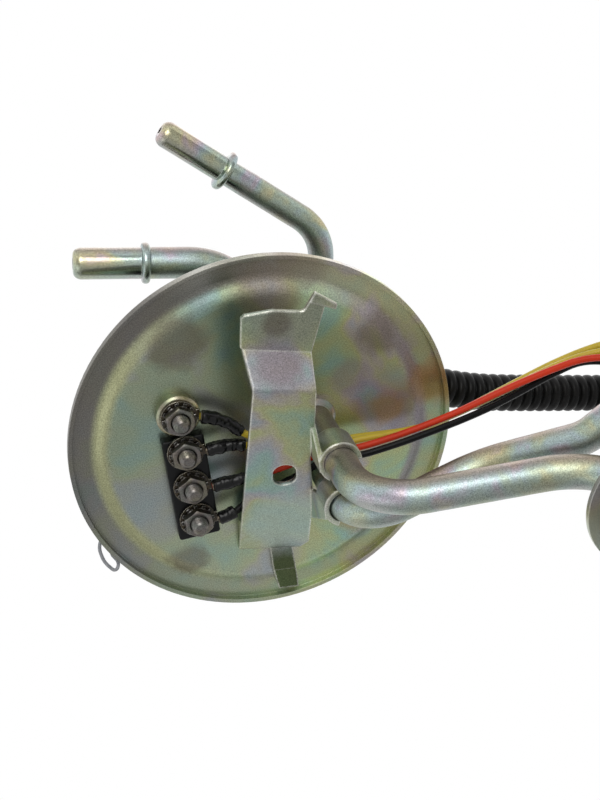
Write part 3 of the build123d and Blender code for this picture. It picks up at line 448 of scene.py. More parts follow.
def makeSleeves(facts):
    parts = []
    gap, endRadius = facts["gap"], facts["neckRadius"] * facts["endShare"]
    (alongScale, roundScale), (fineShare, fineScale) = facts["lumpScale"], facts["lumpDetail"]
    for row, (route, length) in enumerate(zip(facts["routes"], facts["lengths"])):
        line = spaced(smoothLine("sleeveLine", [Vector(point) * mm for point in route]), gap)
        first = round(facts["starts"] / gap)
        line = line[first:first + round(length / gap)]

        def radiusAt(distance, angle, row=row, length=length):
            # full over the crimp, narrower over the bare lead, with rolled ends
            share = min(1.0, max(0.0, (distance - facts["crimpEnd"]) / facts["taper"]))
            body = facts["radius"] + (facts["neckRadius"] + facts["leadFit"] - facts["radius"]) * share
            spot = Vector((distance * alongScale, math.cos(angle) * roundScale,
                           math.sin(angle) * roundScale + row * facts["lumpShift"]))
            lumps = noise.noise(spot) + fineShare * noise.noise(spot * fineScale)
            ends = min(distance, length - distance)
            rolled = math.sqrt(max(0.0, 1 - (1 - min(1.0, ends / facts["lip"])) ** 2))
            return endRadius + (body - endRadius + facts["lump"] * lumps) * rolled

        parts.append(tubeAlong("sleevePart", line, radiusAt, facts["around"]))
    made = joinPieces("shrinkSleeves", parts)
    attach(made, "plate")
    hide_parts("lead_sleeves")
    return made


shrinkSleeves = makeSleeves(sleeves)
print("sleeves made")


# strainer bag: soft filter mesh with a welded seam, held up by the stiff neck

strainerBag = {
    "middle": (74.5 * mm, -5.9 * mm, -203.1 * mm),
    "half": (31.0 * mm, 17.0 * mm),
    "cornerRadius": 14.0 * mm,
    "halfHeight": 4.45 * mm,
    "flatReach": 11.6 * mm,
    "seamWidth": 2.6 * mm,
    "seamHalf": 0.35 * mm,
    "shoulder": (2.2, 0.6),
    "wrinkle": 0.55 * mm,
    "creases": [(3.1, 1.7, 9, 1.0), (9.0, 3.0, 5, 0.5)],  # scale across and outward, shift, share
    "settle": 3,
    "halvings": 40,
    "around": 144,
    "rings": 30,
}


def makeStrainerBag(facts):
    middle = Vector(facts["middle"])
    halfX, halfY = facts["half"]
    corner = facts["cornerRadius"]
    around, rings = facts["around"], facts["rings"]
    full, soft = facts["shoulder"]

    def edgeAt(angle):
        # the rounded rectangle's edge in one direction, by bisection
        way = Vector((math.cos(angle), math.sin(angle)))
        low, high = 0.0, halfX * 2
        for _ in range(facts["halvings"]):
            reach = (low + high) / 2
            beyondX = max(0.0, abs(way.x * reach) - (halfX - corner))
            beyondY = max(0.0, abs(way.y * reach) - (halfY - corner))
            inside = math.hypot(beyondX, beyondY) < corner
            low, high = (reach, high) if inside else (low, reach)
        return way, low

    verts, faces = [], []
    edges = [edgeAt(2 * math.pi * step / around) for step in range(around)]
    for side in (1, -1):
        start = len(verts)
        verts.append(middle + Vector((0, 0, side * facts["halfHeight"])))
        for ring in range(1, rings + 1):
            for step, (way, reach) in enumerate(edges):
                share = ring / rings
                out = reach * share
                slope = max(1e-6, reach - facts["seamWidth"] - facts["flatReach"])
                inner = max(0.0, out - facts["flatReach"]) / slope
                fall = max(0.0, 1 - min(1.0, inner) ** full) ** soft
                crease = 0.0
                for across, outward, shift, part in facts["creases"]:
                    spot = Vector((way.x * across, way.y * across, share * outward + side * shift))
                    crease += part * noise.noise(spot)
                settle = min(1.0, inner * facts["settle"]) * fall
                height = facts["seamHalf"] + (facts["halfHeight"] - facts["seamHalf"]) * fall
                height -= facts["wrinkle"] * settle * (1 + crease)
                verts.append(middle + Vector((way.x * out, way.y * out, side * max(facts["seamHalf"], height))))
        for step in range(around):
            onward = (step + 1) % around
            ends = (start, start + 1 + step, start + 1 + onward)
            faces.append(ends if side > 0 else tuple(reversed(ends)))
            for ring in range(rings - 1):
                low, high = start + 1 + ring * around, start + 1 + (ring + 1) * around
                loop = (low + step, high + step, high + onward, low + onward)
                faces.append(loop if side > 0 else tuple(reversed(loop)))
    top, bottom = 1 + (rings - 1) * around, 1 + rings * around + 1 + (rings - 1) * around
    for step in range(around):
        onward = (step + 1) % around
        faces.append((top + step, bottom + step, bottom + onward, top + onward))
    made = makePiece("strainerBag", verts, faces)
    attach(made, "plate")
    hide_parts("strainer_sock")
    return made


strainerSock = makeStrainerBag(strainerBag)
print("strainer bag made")


# node tree helpers

def feed(tree, value, socket):
    # a link when the value is another socket, else a plain setting
    if isinstance(value, bpy.types.NodeSocket):
        tree.links.new(value, socket)
    elif socket.type == "RGBA" and len(value) == 3:
        socket.default_value = (*value, 1.0)
    else:
        socket.default_value = value


def addNode(tree, kind, inputs=None, **settings):
    made = tree.nodes.new(kind)
    for key, value in settings.items():
        setattr(made, key, value)
    for key, value in (inputs or {}).items():
        feed(tree, value, made.inputs[key])
    return made


def mathNode(tree, operation, first, second=0.5, clamp=False):
    return addNode(tree, "ShaderNodeMath", {0: first, 1: second}, operation=operation, use_clamp=clamp).outputs[0]


def multiply(tree, first, second, clamp=False):
    return mathNode(tree, "MULTIPLY", first, second, clamp)


def dotWith(tree, vector, other):
    return addNode(tree, "ShaderNodeVectorMath", {0: vector, 1: other}, operation="DOT_PRODUCT").outputs["Value"]


def mixColour(tree, share, first, second, blend="MIX"):
    made = addNode(tree, "ShaderNodeMix", {0: share}, data_type="RGBA", blend_type=blend, clamp_result=False)
    feed(tree, first, made.inputs[6])
    feed(tree, second, made.inputs[7])
    return made.outputs[2]


def shaded(tree, colour, level):
    # the colour made lighter or darker by one value
    grey = addNode(tree, "ShaderNodeCombineXYZ", {0: level, 1: level, 2: level}).outputs[0]
    return mixColour(tree, 1.0, colour, grey, "MULTIPLY")


def remap(tree, value, low, high, toLow=0.0, toHigh=1.0, smooth=False):
    kind = "SMOOTHSTEP" if smooth else "LINEAR"
    made = addNode(tree, "ShaderNodeMapRange", {0: value, 1: low, 2: high, 3: toLow, 4: toHigh},
                   interpolation_type=kind, clamp=True)
    return made.outputs[0]


def noiseNode(tree, vector, scale, detail=3.0, roughness=0.55, distortion=0.0):
    inputs = {"Vector": vector, "Scale": scale, "Detail": detail, "Roughness": roughness, "Distortion": distortion}
    return addNode(tree, "ShaderNodeTexNoise", inputs).outputs["Fac"]


socketKinds = {"value": "NodeSocketFloat", "vector": "NodeSocketVector", "colour": "NodeSocketColor"}


def newGroup(name, inlets, outlets):
    tree = bpy.data.node_groups.new(name, "ShaderNodeTree")
    for label, kind, value in inlets:
        made = tree.interface.new_socket(label, in_out="INPUT", socket_type=socketKinds[kind])
        if value is not None:
            made.default_value = (*value, 1.0) if kind == "colour" else value
    for label, kind in outlets:
        tree.interface.new_socket(label, in_out="OUTPUT", socket_type=socketKinds[kind])
    entry = tree.nodes.new("NodeGroupInput")
    leave = tree.nodes.new("NodeGroupOutput")
    return tree, entry.outputs, leave.inputs


def placeGroup(tree, group, inputs):
    return addNode(tree, "ShaderNodeGroup", inputs, node_tree=group).outputs


# shared effects

edgeForm = {"samples": 4, "detail": 2.0, "facing": (0.97, 0.72), "patches": (0.35, 0.6, 0.35, 1.0)}


def makeEdgeWearAndHighlight(facts):
    # how near a sharp outside edge is, broken up by noise, for edge wear and painted edge highlights
    tree, entry, leave = newGroup(
        "edgeWearAndHighlight",
        [("Vector", "vector", None), ("Width", "value", 0.0006), ("Amount", "value", 1.0),
         ("Break", "value", 900.0)],
        [("Mask", "value"), ("Normal", "vector")],
    )
    rounded = addNode(tree, "ShaderNodeBevel", {"Radius": entry["Width"]}, samples=facts["samples"]).outputs[0]
    flat = addNode(tree, "ShaderNodeNewGeometry").outputs["Normal"]
    edge = remap(tree, dotWith(tree, rounded, flat), *facts["facing"])
    patchy = remap(tree, noiseNode(tree, entry["Vector"], entry["Break"], facts["detail"]), *facts["patches"])
    feed(tree, multiply(tree, multiply(tree, edge, patchy), entry["Amount"], True), leave["Mask"])
    feed(tree, rounded, leave["Normal"])
    return tree


grainForm = {"speck": (0.32, 0.68), "fine": (2.0, 0.6), "soft": (2.0, 0.5), "share": 0.5}


def makeFineGrain(facts):
    # fine sparkle of a plated or blasted surface, with soft dents beneath it
    tree, entry, leave = newGroup(
        "fineGrain",
        [("Vector", "vector", None), ("Scale", "value", 3200.0), ("Waves", "value", 260.0)],
        [("Speck", "value"), ("Height", "value")],
    )
    fine = noiseNode(tree, entry["Vector"], entry["Scale"], *facts["fine"])
    soft = noiseNode(tree, entry["Vector"], entry["Waves"], *facts["soft"])
    height = mathNode(tree, "ADD", multiply(tree, fine, facts["share"]), multiply(tree, soft, facts["share"]))
    feed(tree, remap(tree, fine, *facts["speck"]), leave["Speck"])
    feed(tree, height, leave["Height"])
    return tree


filmForm = {
    "noise": (3.0, 0.5, 0.35),  # detail, roughness and distortion
    "turns": 2.7,
    "tints": [
        (0.00, (0.84, 1.04, 0.90)), (0.16, (1.05, 1.07, 0.70)), (0.34, (1.24, 1.06, 0.60)),
        (0.50, (1.22, 0.92, 0.92)), (0.66, (1.02, 0.88, 1.16)), (0.82, (0.78, 1.00, 1.12)),
        (1.00, (0.84, 1.04, 0.90)),
    ],
}


def fillRamp(ramp, stops):
    while len(ramp.elements) > 1:
        ramp.elements.remove(ramp.elements[-1])
    ramp.elements[0].position, ramp.elements[0].color = stops[0][0], (*stops[0][1], 1.0)
    for place, colour in stops[1:]:
        ramp.elements.new(place).color = (*colour, 1.0)


def makeFilmTints(facts):
    # slow drifts of tint in a passivated zinc film, from green through straw to rose and violet
    tree, entry, leave = newGroup(
        "filmTints",
        [("Vector", "vector", None), ("Scale", "value", 38.0), ("Shift", "value", 0.0),
         ("Strength", "value", 1.0), ("Base", "colour", (0.35, 0.37, 0.28))],
        [("Colour", "colour"), ("Drift", "value")],
    )
    drift = noiseNode(tree, entry["Vector"], entry["Scale"], *facts["noise"])
    shifted = mathNode(tree, "ADD", multiply(tree, drift, facts["turns"]), entry["Shift"])
    ramp = addNode(tree, "ShaderNodeValToRGB", {0: mathNode(tree, "FRACT", shifted)})
    fillRamp(ramp.color_ramp, facts["tints"])
    tinted = mixColour(tree, entry["Strength"], (1.0, 1.0, 1.0), ramp.outputs[0])
    feed(tree, mixColour(tree, 1.0, entry["Base"], tinted, "MULTIPLY"), leave["Colour"])
    feed(tree, drift, leave["Drift"])
    return tree


stainForm = {"noise": (160.0, 3.0), "fade": (1.15, 0.55)}


def makeStainSpot(facts):
    # one soft-edged stain at a place
    tree, entry, leave = newGroup(
        "stainSpot",
        [("Vector", "vector", None), ("Place", "vector", None), ("Reach", "value", 0.008),
         ("Ragged", "value", 0.5)],
        [("Mask", "value")],
    )
    away = addNode(tree, "ShaderNodeVectorMath", {0: entry["Vector"], 1: entry["Place"]}, operation="DISTANCE")
    wobble = mathNode(tree, "SUBTRACT", noiseNode(tree, entry["Vector"], *facts["noise"]), 0.5)
    share = mathNode(tree, "DIVIDE", away.outputs["Value"], entry["Reach"])
    share = mathNode(tree, "ADD", share, multiply(tree, wobble, entry["Ragged"]))
    feed(tree, remap(tree, share, *facts["fade"], smooth=True), leave["Mask"])
    return tree


edgeWearAndHighlight = makeEdgeWearAndHighlight(edgeForm)
fineGrain = makeFineGrain(grainForm)
filmTints = makeFilmTints(filmForm)
stainSpot = makeStainSpot(stainForm)
print("shader groups made")


# materials

def newMaterial(name):
    made = bpy.data.materials.new(name)
    made.use_nodes = True
    tree = made.node_tree
    place = addNode(tree, "ShaderNodeTexCoord").outputs["Object"]
    return made, tree, tree.nodes["Principled BSDF"].inputs, place


def bumpFrom(tree, height, strength, distance, normal=None):
    inputs = {"Height": height, "Strength": strength, "Distance": distance}
    if normal is not None:
        inputs["Normal"] = normal
    return addNode(tree, "ShaderNodeBump", inputs).outputs[0]


def placeGrain(tree, place, scale, waves):
    return placeGroup(tree, fineGrain, {"Vector": place, "Scale": scale, "Waves": waves})


def spotMask(tree, place, spot, reach, ragged):
    inputs = {"Vector": place, "Place": Vector(spot) * mm, "Reach": reach * mm, "Ragged": ragged}
    return placeGroup(tree, stainSpot, inputs)["Mask"]


def finishSurface(tree, inlets, place, colour, rough, grain, facts):
    # worn edges and painted edge highlights, roughness and fine grain over a surface's own colour
    edge = placeGroup(tree, edgeWearAndHighlight, {"Vector": place, "Width": facts["rim"] * mm, "Amount": facts["wearAndHighlight"]})
    feed(tree, mixColour(tree, edge["Mask"], colour, facts["edge"]), inlets["Base Color"])
    feed(tree, rough, inlets["Roughness"])
    feed(tree, bumpFrom(tree, grain["Height"], facts["bump"], facts["depth"], edge["Normal"]), inlets["Normal"])


# a run of four numbers goes from one measure to another, then gives the value at each

platedPlate = {
    "base": (0.335, 0.405, 0.360),
    "scale": 42.0,
    "tints": (-0.02, 0.02, 0.45, 0.95),  # weaker on one side of the plate
    "grain": (3000.0, 240.0),
    "speck": (0.66, 1.26),
    # the flange is painted browner and darker towards one side: a brown tint with painted shade
    "flange": (0.185, 0.170, 0.155),
    "flangeFrom": (49.0 * mm, 51.5 * mm),
    "shadedBrownSide": (-0.55, -0.83, 0.0),
    "shadedBrownShare": (-0.02, 0.05, 0.25, 0.9),
    # painted light: the plate is painted lighter away from its shaded side
    "paintedLightShare": (0.03, -0.045, 0.94, 1.42),
    "stepRadius": 48.8 * mm,
    "stepReach": (3.4 * mm, 0.8 * mm),
    "stepHighlightAndShade": [  # the step wall is painted with a straw highlight on one side and a violet painted shade on the other
        ((-0.01, -0.04), 1.0, (0.45, 0.46, 0.27)), ((0.012, 0.042), 0.8, (0.25, 0.22, 0.26)),
    ],
    # painted light over the top of the ring, near the bracket's wing
    "wingSide": (0.40, -0.92, 0.0),
    "paintedTopLightRange": (36 * mm, 54 * mm, 1.0, 2.1),
    "roses": {"tone": (0.25, 0.22, 0.26), "share": 0.5, "ragged": 0.7, "spots": [
        ((39.0, -3.0, -2.0), 13.0), ((45.0, 7.0, -2.0), 8.0), ((28.0, -14.0, -2.0), 7.0)]},
    "oranges": {"tone": (0.36, 0.23, 0.11), "share": 0.6, "ragged": 0.8, "spots": [
        ((54.5, -5.0, 0.0), 9.0), ((38.0, -1.0, -2.0), 6.5), ((25.0, 34.0, -2.0), 7.0)]},
    "stains": {"tone": (0.17, 0.14, 0.11), "share": 0.62, "ragged": 0.9, "rougher": 0.12, "spots": [
        ((-20.5, -37.0, -2.0), 9.5), ((7.4, -46.0, -1.0), 12.0), ((-29.0, 36.0, -2.0), 7.0),
        ((37.5, -26.0, -2.0), 7.5), ((17.0, -52.0, 0.0), 10.0)]},
    "roughness": (0.3, 0.7, 0.30, 0.46),
    "bump": 0.35,
    "depth": 0.06 * mm,
    "rim": 0.35,
    "wearAndHighlight": 0.18,
    "edge": (0.50, 0.50, 0.45),
}


def makePlatedPlate(facts):
    made, tree, inlets, place = newMaterial("platedPlate")
    parts = addNode(tree, "ShaderNodeSeparateXYZ", {0: place}).outputs
    film = placeGroup(tree, filmTints, {"Vector": place, "Scale": facts["scale"], "Base": facts["base"],
                                        "Strength": remap(tree, parts[0], *facts["tints"])})
    grain = placeGrain(tree, place, *facts["grain"])
    flatPlace = addNode(tree, "ShaderNodeCombineXYZ", {0: parts[0], 1: parts[1]}).outputs[0]
    radius = addNode(tree, "ShaderNodeVectorMath", {0: flatPlace}, operation="LENGTH").outputs["Value"]
    # the ring outside the step is greyer, and painted browner and darker towards one side: a brown tint with
    # painted shade
    onFlange = remap(tree, radius, *facts["flangeFrom"], smooth=True)
    lean = dotWith(tree, flatPlace, facts["shadedBrownSide"])
    brownAndShade = multiply(tree, onFlange, remap(tree, lean, *facts["shadedBrownShare"]))
    colour = mixColour(tree, brownAndShade, film["Colour"], facts["flange"])
    step = mathNode(tree, "SUBTRACT", radius, facts["stepRadius"])
    onStep = remap(tree, mathNode(tree, "ABSOLUTE", step), *facts["stepReach"], smooth=True)
    # painted highlight on one side of the step wall and painted shade on the other
    for reach, share, tone in facts["stepHighlightAndShade"]:
        band = multiply(tree, onStep, remap(tree, parts[0], *reach, smooth=True))
        colour = mixColour(tree, multiply(tree, band, share), colour, tone)
    for group in (facts["roses"], facts["oranges"]):
        for spot, reach in group["spots"]:
            mask = spotMask(tree, place, spot, reach, group["ragged"])
            colour = mixColour(tree, multiply(tree, mask, group["share"]), colour, group["tone"])
    stains, stained = facts["stains"], 0.0
    for spot, reach in stains["spots"]:
        stained = mathNode(tree, "MAXIMUM", spotMask(tree, place, spot, reach, stains["ragged"]), stained)
    colour = mixColour(tree, multiply(tree, stained, stains["share"]), colour, stains["tone"])
    # painted light: the plate is painted lighter away from its browner, shaded side, and lightest over the top of
    # the ring where it meets the bracket's wing
    paintedLight = remap(tree, lean, *facts["paintedLightShare"])
    paintedTopLight = remap(tree, dotWith(tree, flatPlace, facts["wingSide"]), *facts["paintedTopLightRange"], smooth=True)
    paintedLight = multiply(tree, paintedLight, paintedTopLight)
    colour = shaded(tree, colour, multiply(tree, paintedLight, remap(tree, grain["Speck"], 0.0, 1.0, *facts["speck"])))
    rough = remap(tree, film["Drift"], *facts["roughness"])
    rough = mathNode(tree, "ADD", rough, multiply(tree, stained, stains["rougher"]))
    inlets["Metallic"].default_value = 1.0
    finishSurface(tree, inlets, place, colour, rough, grain, facts)
    return made


commonSteel = {"grain": (3000.0, 300.0), "bump": 0.3, "depth": 0.05 * mm, "rim": 0.4, "wearAndHighlight": 0.75,
               "drift": (0.3, 0.7), "ragged": 0.5, "patches": [], "round": [], "polish": []}
platedSteels = {
    "bracketFilm": {
        "base": (0.36, 0.42, 0.36), "tints": 0.8, "scale": 40.0, "shift": 0.13, "roughness": (0.28, 0.42),
        # near-white edges, wide and strong: painted highlights along the bracket's folds and cut edges, with edge
        # wear
        "edge": (0.95, 0.95, 0.86), "speck": (0.66, 1.26), "wearAndHighlight": 1.3, "rim": 1.0, "patches": [
            # the lighter teal patch on the face's lower part: a teal tint with painted light
            ((2.0, 26.0, -9.0), 16.0, (0.40, 0.50, 0.45), 0.8),
            ((0.0, 49.0, -4.5), 12.0, (0.08, 0.105, 0.04), 0.95),
            # the darker patch over the top wing: a grey-green tint with painted shade
            ((8.0, -50.0, -22.5), 15.0, (0.25, 0.27, 0.24), 0.7),
            ((4.6, -46.4, -22.0), 4.6, (0.15, 0.13, 0.105), 0.7),
            ((3.0, -34.5, -25.0), 8.0, (0.30, 0.26, 0.285), 0.85),
            # the two light patches over the tube clips: a paler tone with painted highlights
            ((16.0, -3.3, -25.5), 8.0, (0.50, 0.54, 0.53), 0.85),
            ((14.0, 13.5, -27.0), 8.5, (0.66, 0.68, 0.55), 0.85)]},
    "tubeFilm": {
        "base": (0.475, 0.485, 0.455), "tints": 0.75, "scale": 64.0, "shift": 0.55, "roughness": (0.34, 0.50),
        "edge": (0.6, 0.6, 0.56), "speck": (0.62, 1.30), "tintAndShadeSide": (0.20, -0.84, 0.50), "round": [
            # rosy tint with painted shade on one side, green tint with painted shade on the other
            ((0.25, 0.85, 0.0, 0.85), (0.27, 0.215, 0.185)), ((0.0, -0.7, 0.0, 0.7), (0.30, 0.34, 0.29))],
        "polish": [((-33.0, -50.0, 34.3), 15.0), ((1.0, -75.0, 38.0), 15.0)], "polishRagged": 0.2,
        "polishShare": 0.25},
    "brazeFilm": {
        "base": (0.36, 0.37, 0.30), "tints": 0.6, "scale": 120.0, "shift": 0.3, "roughness": (0.26, 0.42),
        "edge": (0.7, 0.7, 0.6), "speck": (0.8, 1.15)},
    "goldZinc": {
        "base": (0.38, 0.37, 0.25), "tints": 0.35, "scale": 90.0, "shift": 0.28, "roughness": (0.22, 0.4),
        "edge": (0.78, 0.74, 0.56), "speck": (0.82, 1.12)},
    "studSteel": {
        "base": (0.19, 0.185, 0.165), "tints": 0.25, "scale": 160.0, "shift": 0.2, "roughness": (0.24, 0.42),
        "edge": (0.40, 0.39, 0.35), "speck": (0.60, 1.25)},
    "nutSteel": {
        "base": (0.20, 0.19, 0.17), "tints": 0.25, "scale": 150.0, "shift": 0.2, "roughness": (0.26, 0.42),
        "edge": (0.52, 0.50, 0.45), "speck": (0.60, 1.25)},
    "washerSteel": {
        "base": (0.05, 0.047, 0.043), "tints": 0.2, "scale": 150.0, "shift": 0.2, "roughness": (0.22, 0.4),
        "edge": (0.66, 0.64, 0.60), "speck": (0.70, 1.15)},
    "crimpBrass": {
        "base": (0.075, 0.065, 0.05), "tints": 0.25, "scale": 140.0, "shift": 0.2, "roughness": (0.2, 0.38),
        "edge": (0.74, 0.70, 0.58), "speck": (0.72, 1.12)},
    "strapSteel": {
        "base": (0.46, 0.47, 0.42), "tints": 0.4, "scale": 30.0, "shift": 0.1, "roughness": (0.26, 0.4),
        "edge": (0.70, 0.71, 0.64), "speck": (0.86, 1.12)},
    "canSteel": {
        "base": (0.58, 0.585, 0.56), "tints": 0.12, "scale": 40.0, "shift": 0.1, "roughness": (0.22, 0.34),
        "edge": (0.75, 0.75, 0.73), "speck": (0.92, 1.06)},
    "brightSteel": {
        "base": (0.56, 0.55, 0.52), "tints": 0.1, "scale": 160.0, "shift": 0.4, "roughness": (0.2, 0.36),
        "edge": (0.80, 0.79, 0.76), "speck": (0.80, 1.12)},
    "tinnedBrass": {
        "base": (0.60, 0.58, 0.50), "tints": 0.15, "scale": 150.0, "shift": 0.3, "roughness": (0.2, 0.38),
        "edge": (0.82, 0.80, 0.72), "speck": (0.84, 1.1)},
    "springSteel": {
        "base": (0.45, 0.45, 0.46), "tints": 0.08, "scale": 200.0, "shift": 0.0, "roughness": (0.22, 0.34),
        "edge": (0.6, 0.6, 0.6), "speck": (0.9, 1.08)},
    "copperWire": {
        "base": (0.62, 0.27, 0.13), "tints": 0.1, "scale": 200.0, "shift": 0.4, "roughness": (0.25, 0.4),
        "edge": (0.85, 0.5, 0.3), "speck": (0.85, 1.1)},
    "coreIron": {
        "base": (0.30, 0.30, 0.31), "tints": 0.1, "scale": 200.0, "shift": 0.7, "roughness": (0.38, 0.55),
        "edge": (0.5, 0.5, 0.5), "speck": (0.85, 1.1)},
    "bushBronze": {
        "base": (0.48, 0.33, 0.17), "tints": 0.1, "scale": 200.0, "shift": 0.3, "roughness": (0.35, 0.5),
        "edge": (0.7, 0.5, 0.3), "speck": (0.75, 1.15)},
    "castMetal": {
        "base": (0.50, 0.51, 0.51), "tints": 0.08, "scale": 90.0, "shift": 0.0, "roughness": (0.4, 0.6),
        "edge": (0.66, 0.66, 0.66), "speck": (0.85, 1.1)},
}


def makePlatedSteel(name, facts):
    facts = {**commonSteel, **facts}
    made, tree, inlets, place = newMaterial(name)
    film = placeGroup(tree, filmTints, {"Vector": place, "Scale": facts["scale"], "Shift": facts["shift"],
                                        "Strength": facts["tints"], "Base": facts["base"]})
    grain = placeGrain(tree, place, *facts["grain"])
    colour = film["Colour"]
    if facts["round"]:
        # the film on a tube is painted rosy and darker on one side and green and darker on the other: a film tint
        # with painted shade along its edges
        normal = addNode(tree, "ShaderNodeTexCoord").outputs["Normal"]
        side = dotWith(tree, normal, facts["tintAndShadeSide"])
        for shares, tone in facts["round"]:
            colour = mixColour(tree, remap(tree, side, *shares, smooth=True), colour, tone)
    for spot, reach, tone, share in facts["patches"]:
        mask = spotMask(tree, place, spot, reach, facts["ragged"])
        colour = mixColour(tree, multiply(tree, mask, share), colour, tone)
    colour = shaded(tree, colour, remap(tree, grain["Speck"], 0.0, 1.0, *facts["speck"]))
    rough = remap(tree, film["Drift"], *facts["drift"], *facts["roughness"])
    for spot, reach in facts["polish"]:
        mask = spotMask(tree, place, spot, reach, facts["polishRagged"])
        rough = mathNode(tree, "SUBTRACT", rough, multiply(tree, mask, facts["polishShare"]))
    inlets["Metallic"].default_value = 1.0
    finishSurface(tree, inlets, place, colour, rough, grain, facts)
    return made


commonSurface = {"specular": 0.5, "waves": 0.2, "dust": (90.0, 4.0, 0.6), "dustFrom": (0.42, 0.7),
                 "dustGrain": (0.2, 0.9, 0.4, 1.0), "depth": 0.1 * mm, "rim": 0.4, "wearAndHighlight": 0.6}
plainSurfaces = {
    "blackPlastic": {
        "base": (0.0028, 0.0032, 0.0036), "dusty": (0.007, 0.0075, 0.008), "edge": (0.02, 0.02, 0.02),
        "specular": 0.22, "roughness": (0.28, 0.42), "grain": 1400.0, "bump": 0.10},
    "conduitPlastic": {
        "base": (0.0035, 0.0035, 0.0035), "dusty": (0.011, 0.0105, 0.0105), "edge": (0.02, 0.02, 0.02),
        "specular": 0.16, "roughness": (0.36, 0.5), "grain": 900.0, "bump": 0.12},
    "sleeveRubber": {
        "base": (0.0026, 0.0026, 0.003), "dusty": (0.006, 0.006, 0.0065), "edge": (0.012, 0.012, 0.012),
        "specular": 0.3, "roughness": (0.18, 0.34), "grain": 600.0, "bump": 0.3},
    "blackRubber": {
        "base": (0.018, 0.018, 0.018), "dusty": (0.06, 0.058, 0.055), "edge": (0.05, 0.05, 0.05),
        "specular": 0.35, "roughness": (0.5, 0.7), "grain": 1200.0, "bump": 0.2},
    "yellowInsulation": {
        "base": (0.56, 0.425, 0.04), "dusty": (0.48, 0.36, 0.04), "edge": (0.85, 0.72, 0.12),
        "specular": 0.3, "roughness": (0.28, 0.4), "grain": 700.0, "bump": 0.06},
    "redInsulation": {
        "base": (0.62, 0.040, 0.012), "dusty": (0.50, 0.035, 0.013), "edge": (0.75, 0.09, 0.05),
        "specular": 0.2, "roughness": (0.34, 0.44), "grain": 700.0, "bump": 0.06},
    "blackInsulation": {
        "base": (0.0025, 0.0025, 0.003), "dusty": (0.006, 0.006, 0.007), "edge": (0.03, 0.03, 0.03),
        "specular": 0.16, "roughness": (0.26, 0.38), "grain": 700.0, "bump": 0.06},
    "whiteAcetal": {
        "base": (0.80, 0.79, 0.74), "dusty": (0.70, 0.68, 0.62), "edge": (0.85, 0.84, 0.80),
        "roughness": (0.3, 0.45), "grain": 900.0, "bump": 0.06},
    "ferrite": {
        "base": (0.055, 0.055, 0.058), "dusty": (0.10, 0.10, 0.10), "edge": (0.12, 0.12, 0.12),
        "roughness": (0.5, 0.7), "grain": 1800.0, "bump": 0.25},
    "carbonBlock": {
        "base": (0.03, 0.03, 0.032), "dusty": (0.08, 0.08, 0.08), "edge": (0.12, 0.12, 0.12),
        "roughness": (0.4, 0.6), "grain": 2600.0, "bump": 0.2},
    "cardCeramic": {
        "base": (0.70, 0.70, 0.66), "dusty": (0.60, 0.60, 0.56), "edge": (0.8, 0.8, 0.78),
        "roughness": (0.4, 0.6), "grain": 1500.0, "bump": 0.08},
    "floatFoam": {
        "base": (0.030, 0.028, 0.026), "dusty": (0.09, 0.085, 0.075), "edge": (0.10, 0.09, 0.08),
        "roughness": (0.55, 0.75), "grain": 700.0, "bump": 0.5},
}


def makePlainSurface(name, facts):
    facts = {**commonSurface, **facts}
    made, tree, inlets, place = newMaterial(name)
    grain = placeGrain(tree, place, facts["grain"], facts["grain"] * facts["waves"])
    dust = remap(tree, noiseNode(tree, place, *facts["dust"]), *facts["dustFrom"])
    dust = multiply(tree, dust, remap(tree, grain["Speck"], *facts["dustGrain"]))
    colour = mixColour(tree, dust, facts["base"], facts["dusty"])
    rough = remap(tree, dust, 0.0, 1.0, *facts["roughness"])
    inlets["Specular IOR Level"].default_value = facts["specular"]
    finishSurface(tree, inlets, place, colour, rough, grain, facts)
    return made


clearNylon = {"tint": (0.30, 0.31, 0.33), "pale": (0.46, 0.47, 0.49), "cloud": (400.0, 2.0),
              "paleFrom": (0.4, 0.7), "roughness": (0.3, 0.7, 0.18, 0.32), "transmission": 0.15, "ior": 1.5}


def makeClearNylon(facts):
    made, tree, inlets, place = newMaterial("clearNylon")
    cloud = noiseNode(tree, place, *facts["cloud"])
    colour = mixColour(tree, remap(tree, cloud, *facts["paleFrom"]), facts["tint"], facts["pale"])
    feed(tree, colour, inlets["Base Color"])
    inlets["Transmission Weight"].default_value = facts["transmission"]
    inlets["IOR"].default_value = facts["ior"]
    feed(tree, remap(tree, cloud, *facts["roughness"]), inlets["Roughness"])
    return made


filterMesh = {"thread": (0.70, 0.69, 0.62), "gap": (0.22, 0.215, 0.19), "pitch": 0.62 * mm,
              "threadFrom": (0.05, 0.5), "dirt": (0.4, 0.75, 1.0, 0.7), "dirtNoise": (80.0, 4.0),
              "roughness": (0.75, 0.5), "bump": (0.6, 0.2 * mm)}


def makeFilterMesh(facts):
    made, tree, inlets, place = newMaterial("filterMesh")
    parts = addNode(tree, "ShaderNodeSeparateXYZ", {0: place}).outputs
    waves = []
    for axis in (0, 1):
        turn = multiply(tree, parts[axis], 2 * math.pi / facts["pitch"])
        waves.append(mathNode(tree, "ABSOLUTE", mathNode(tree, "SINE", turn)))
    weave = multiply(tree, waves[0], waves[1])
    dirt = remap(tree, noiseNode(tree, place, *facts["dirtNoise"]), *facts["dirt"])
    colour = mixColour(tree, remap(tree, weave, *facts["threadFrom"]), facts["gap"], facts["thread"])
    feed(tree, shaded(tree, colour, dirt), inlets["Base Color"])
    feed(tree, remap(tree, weave, 0.0, 1.0, *facts["roughness"]), inlets["Roughness"])
    feed(tree, bumpFrom(tree, weave, *facts["bump"]), inlets["Normal"])
    return made


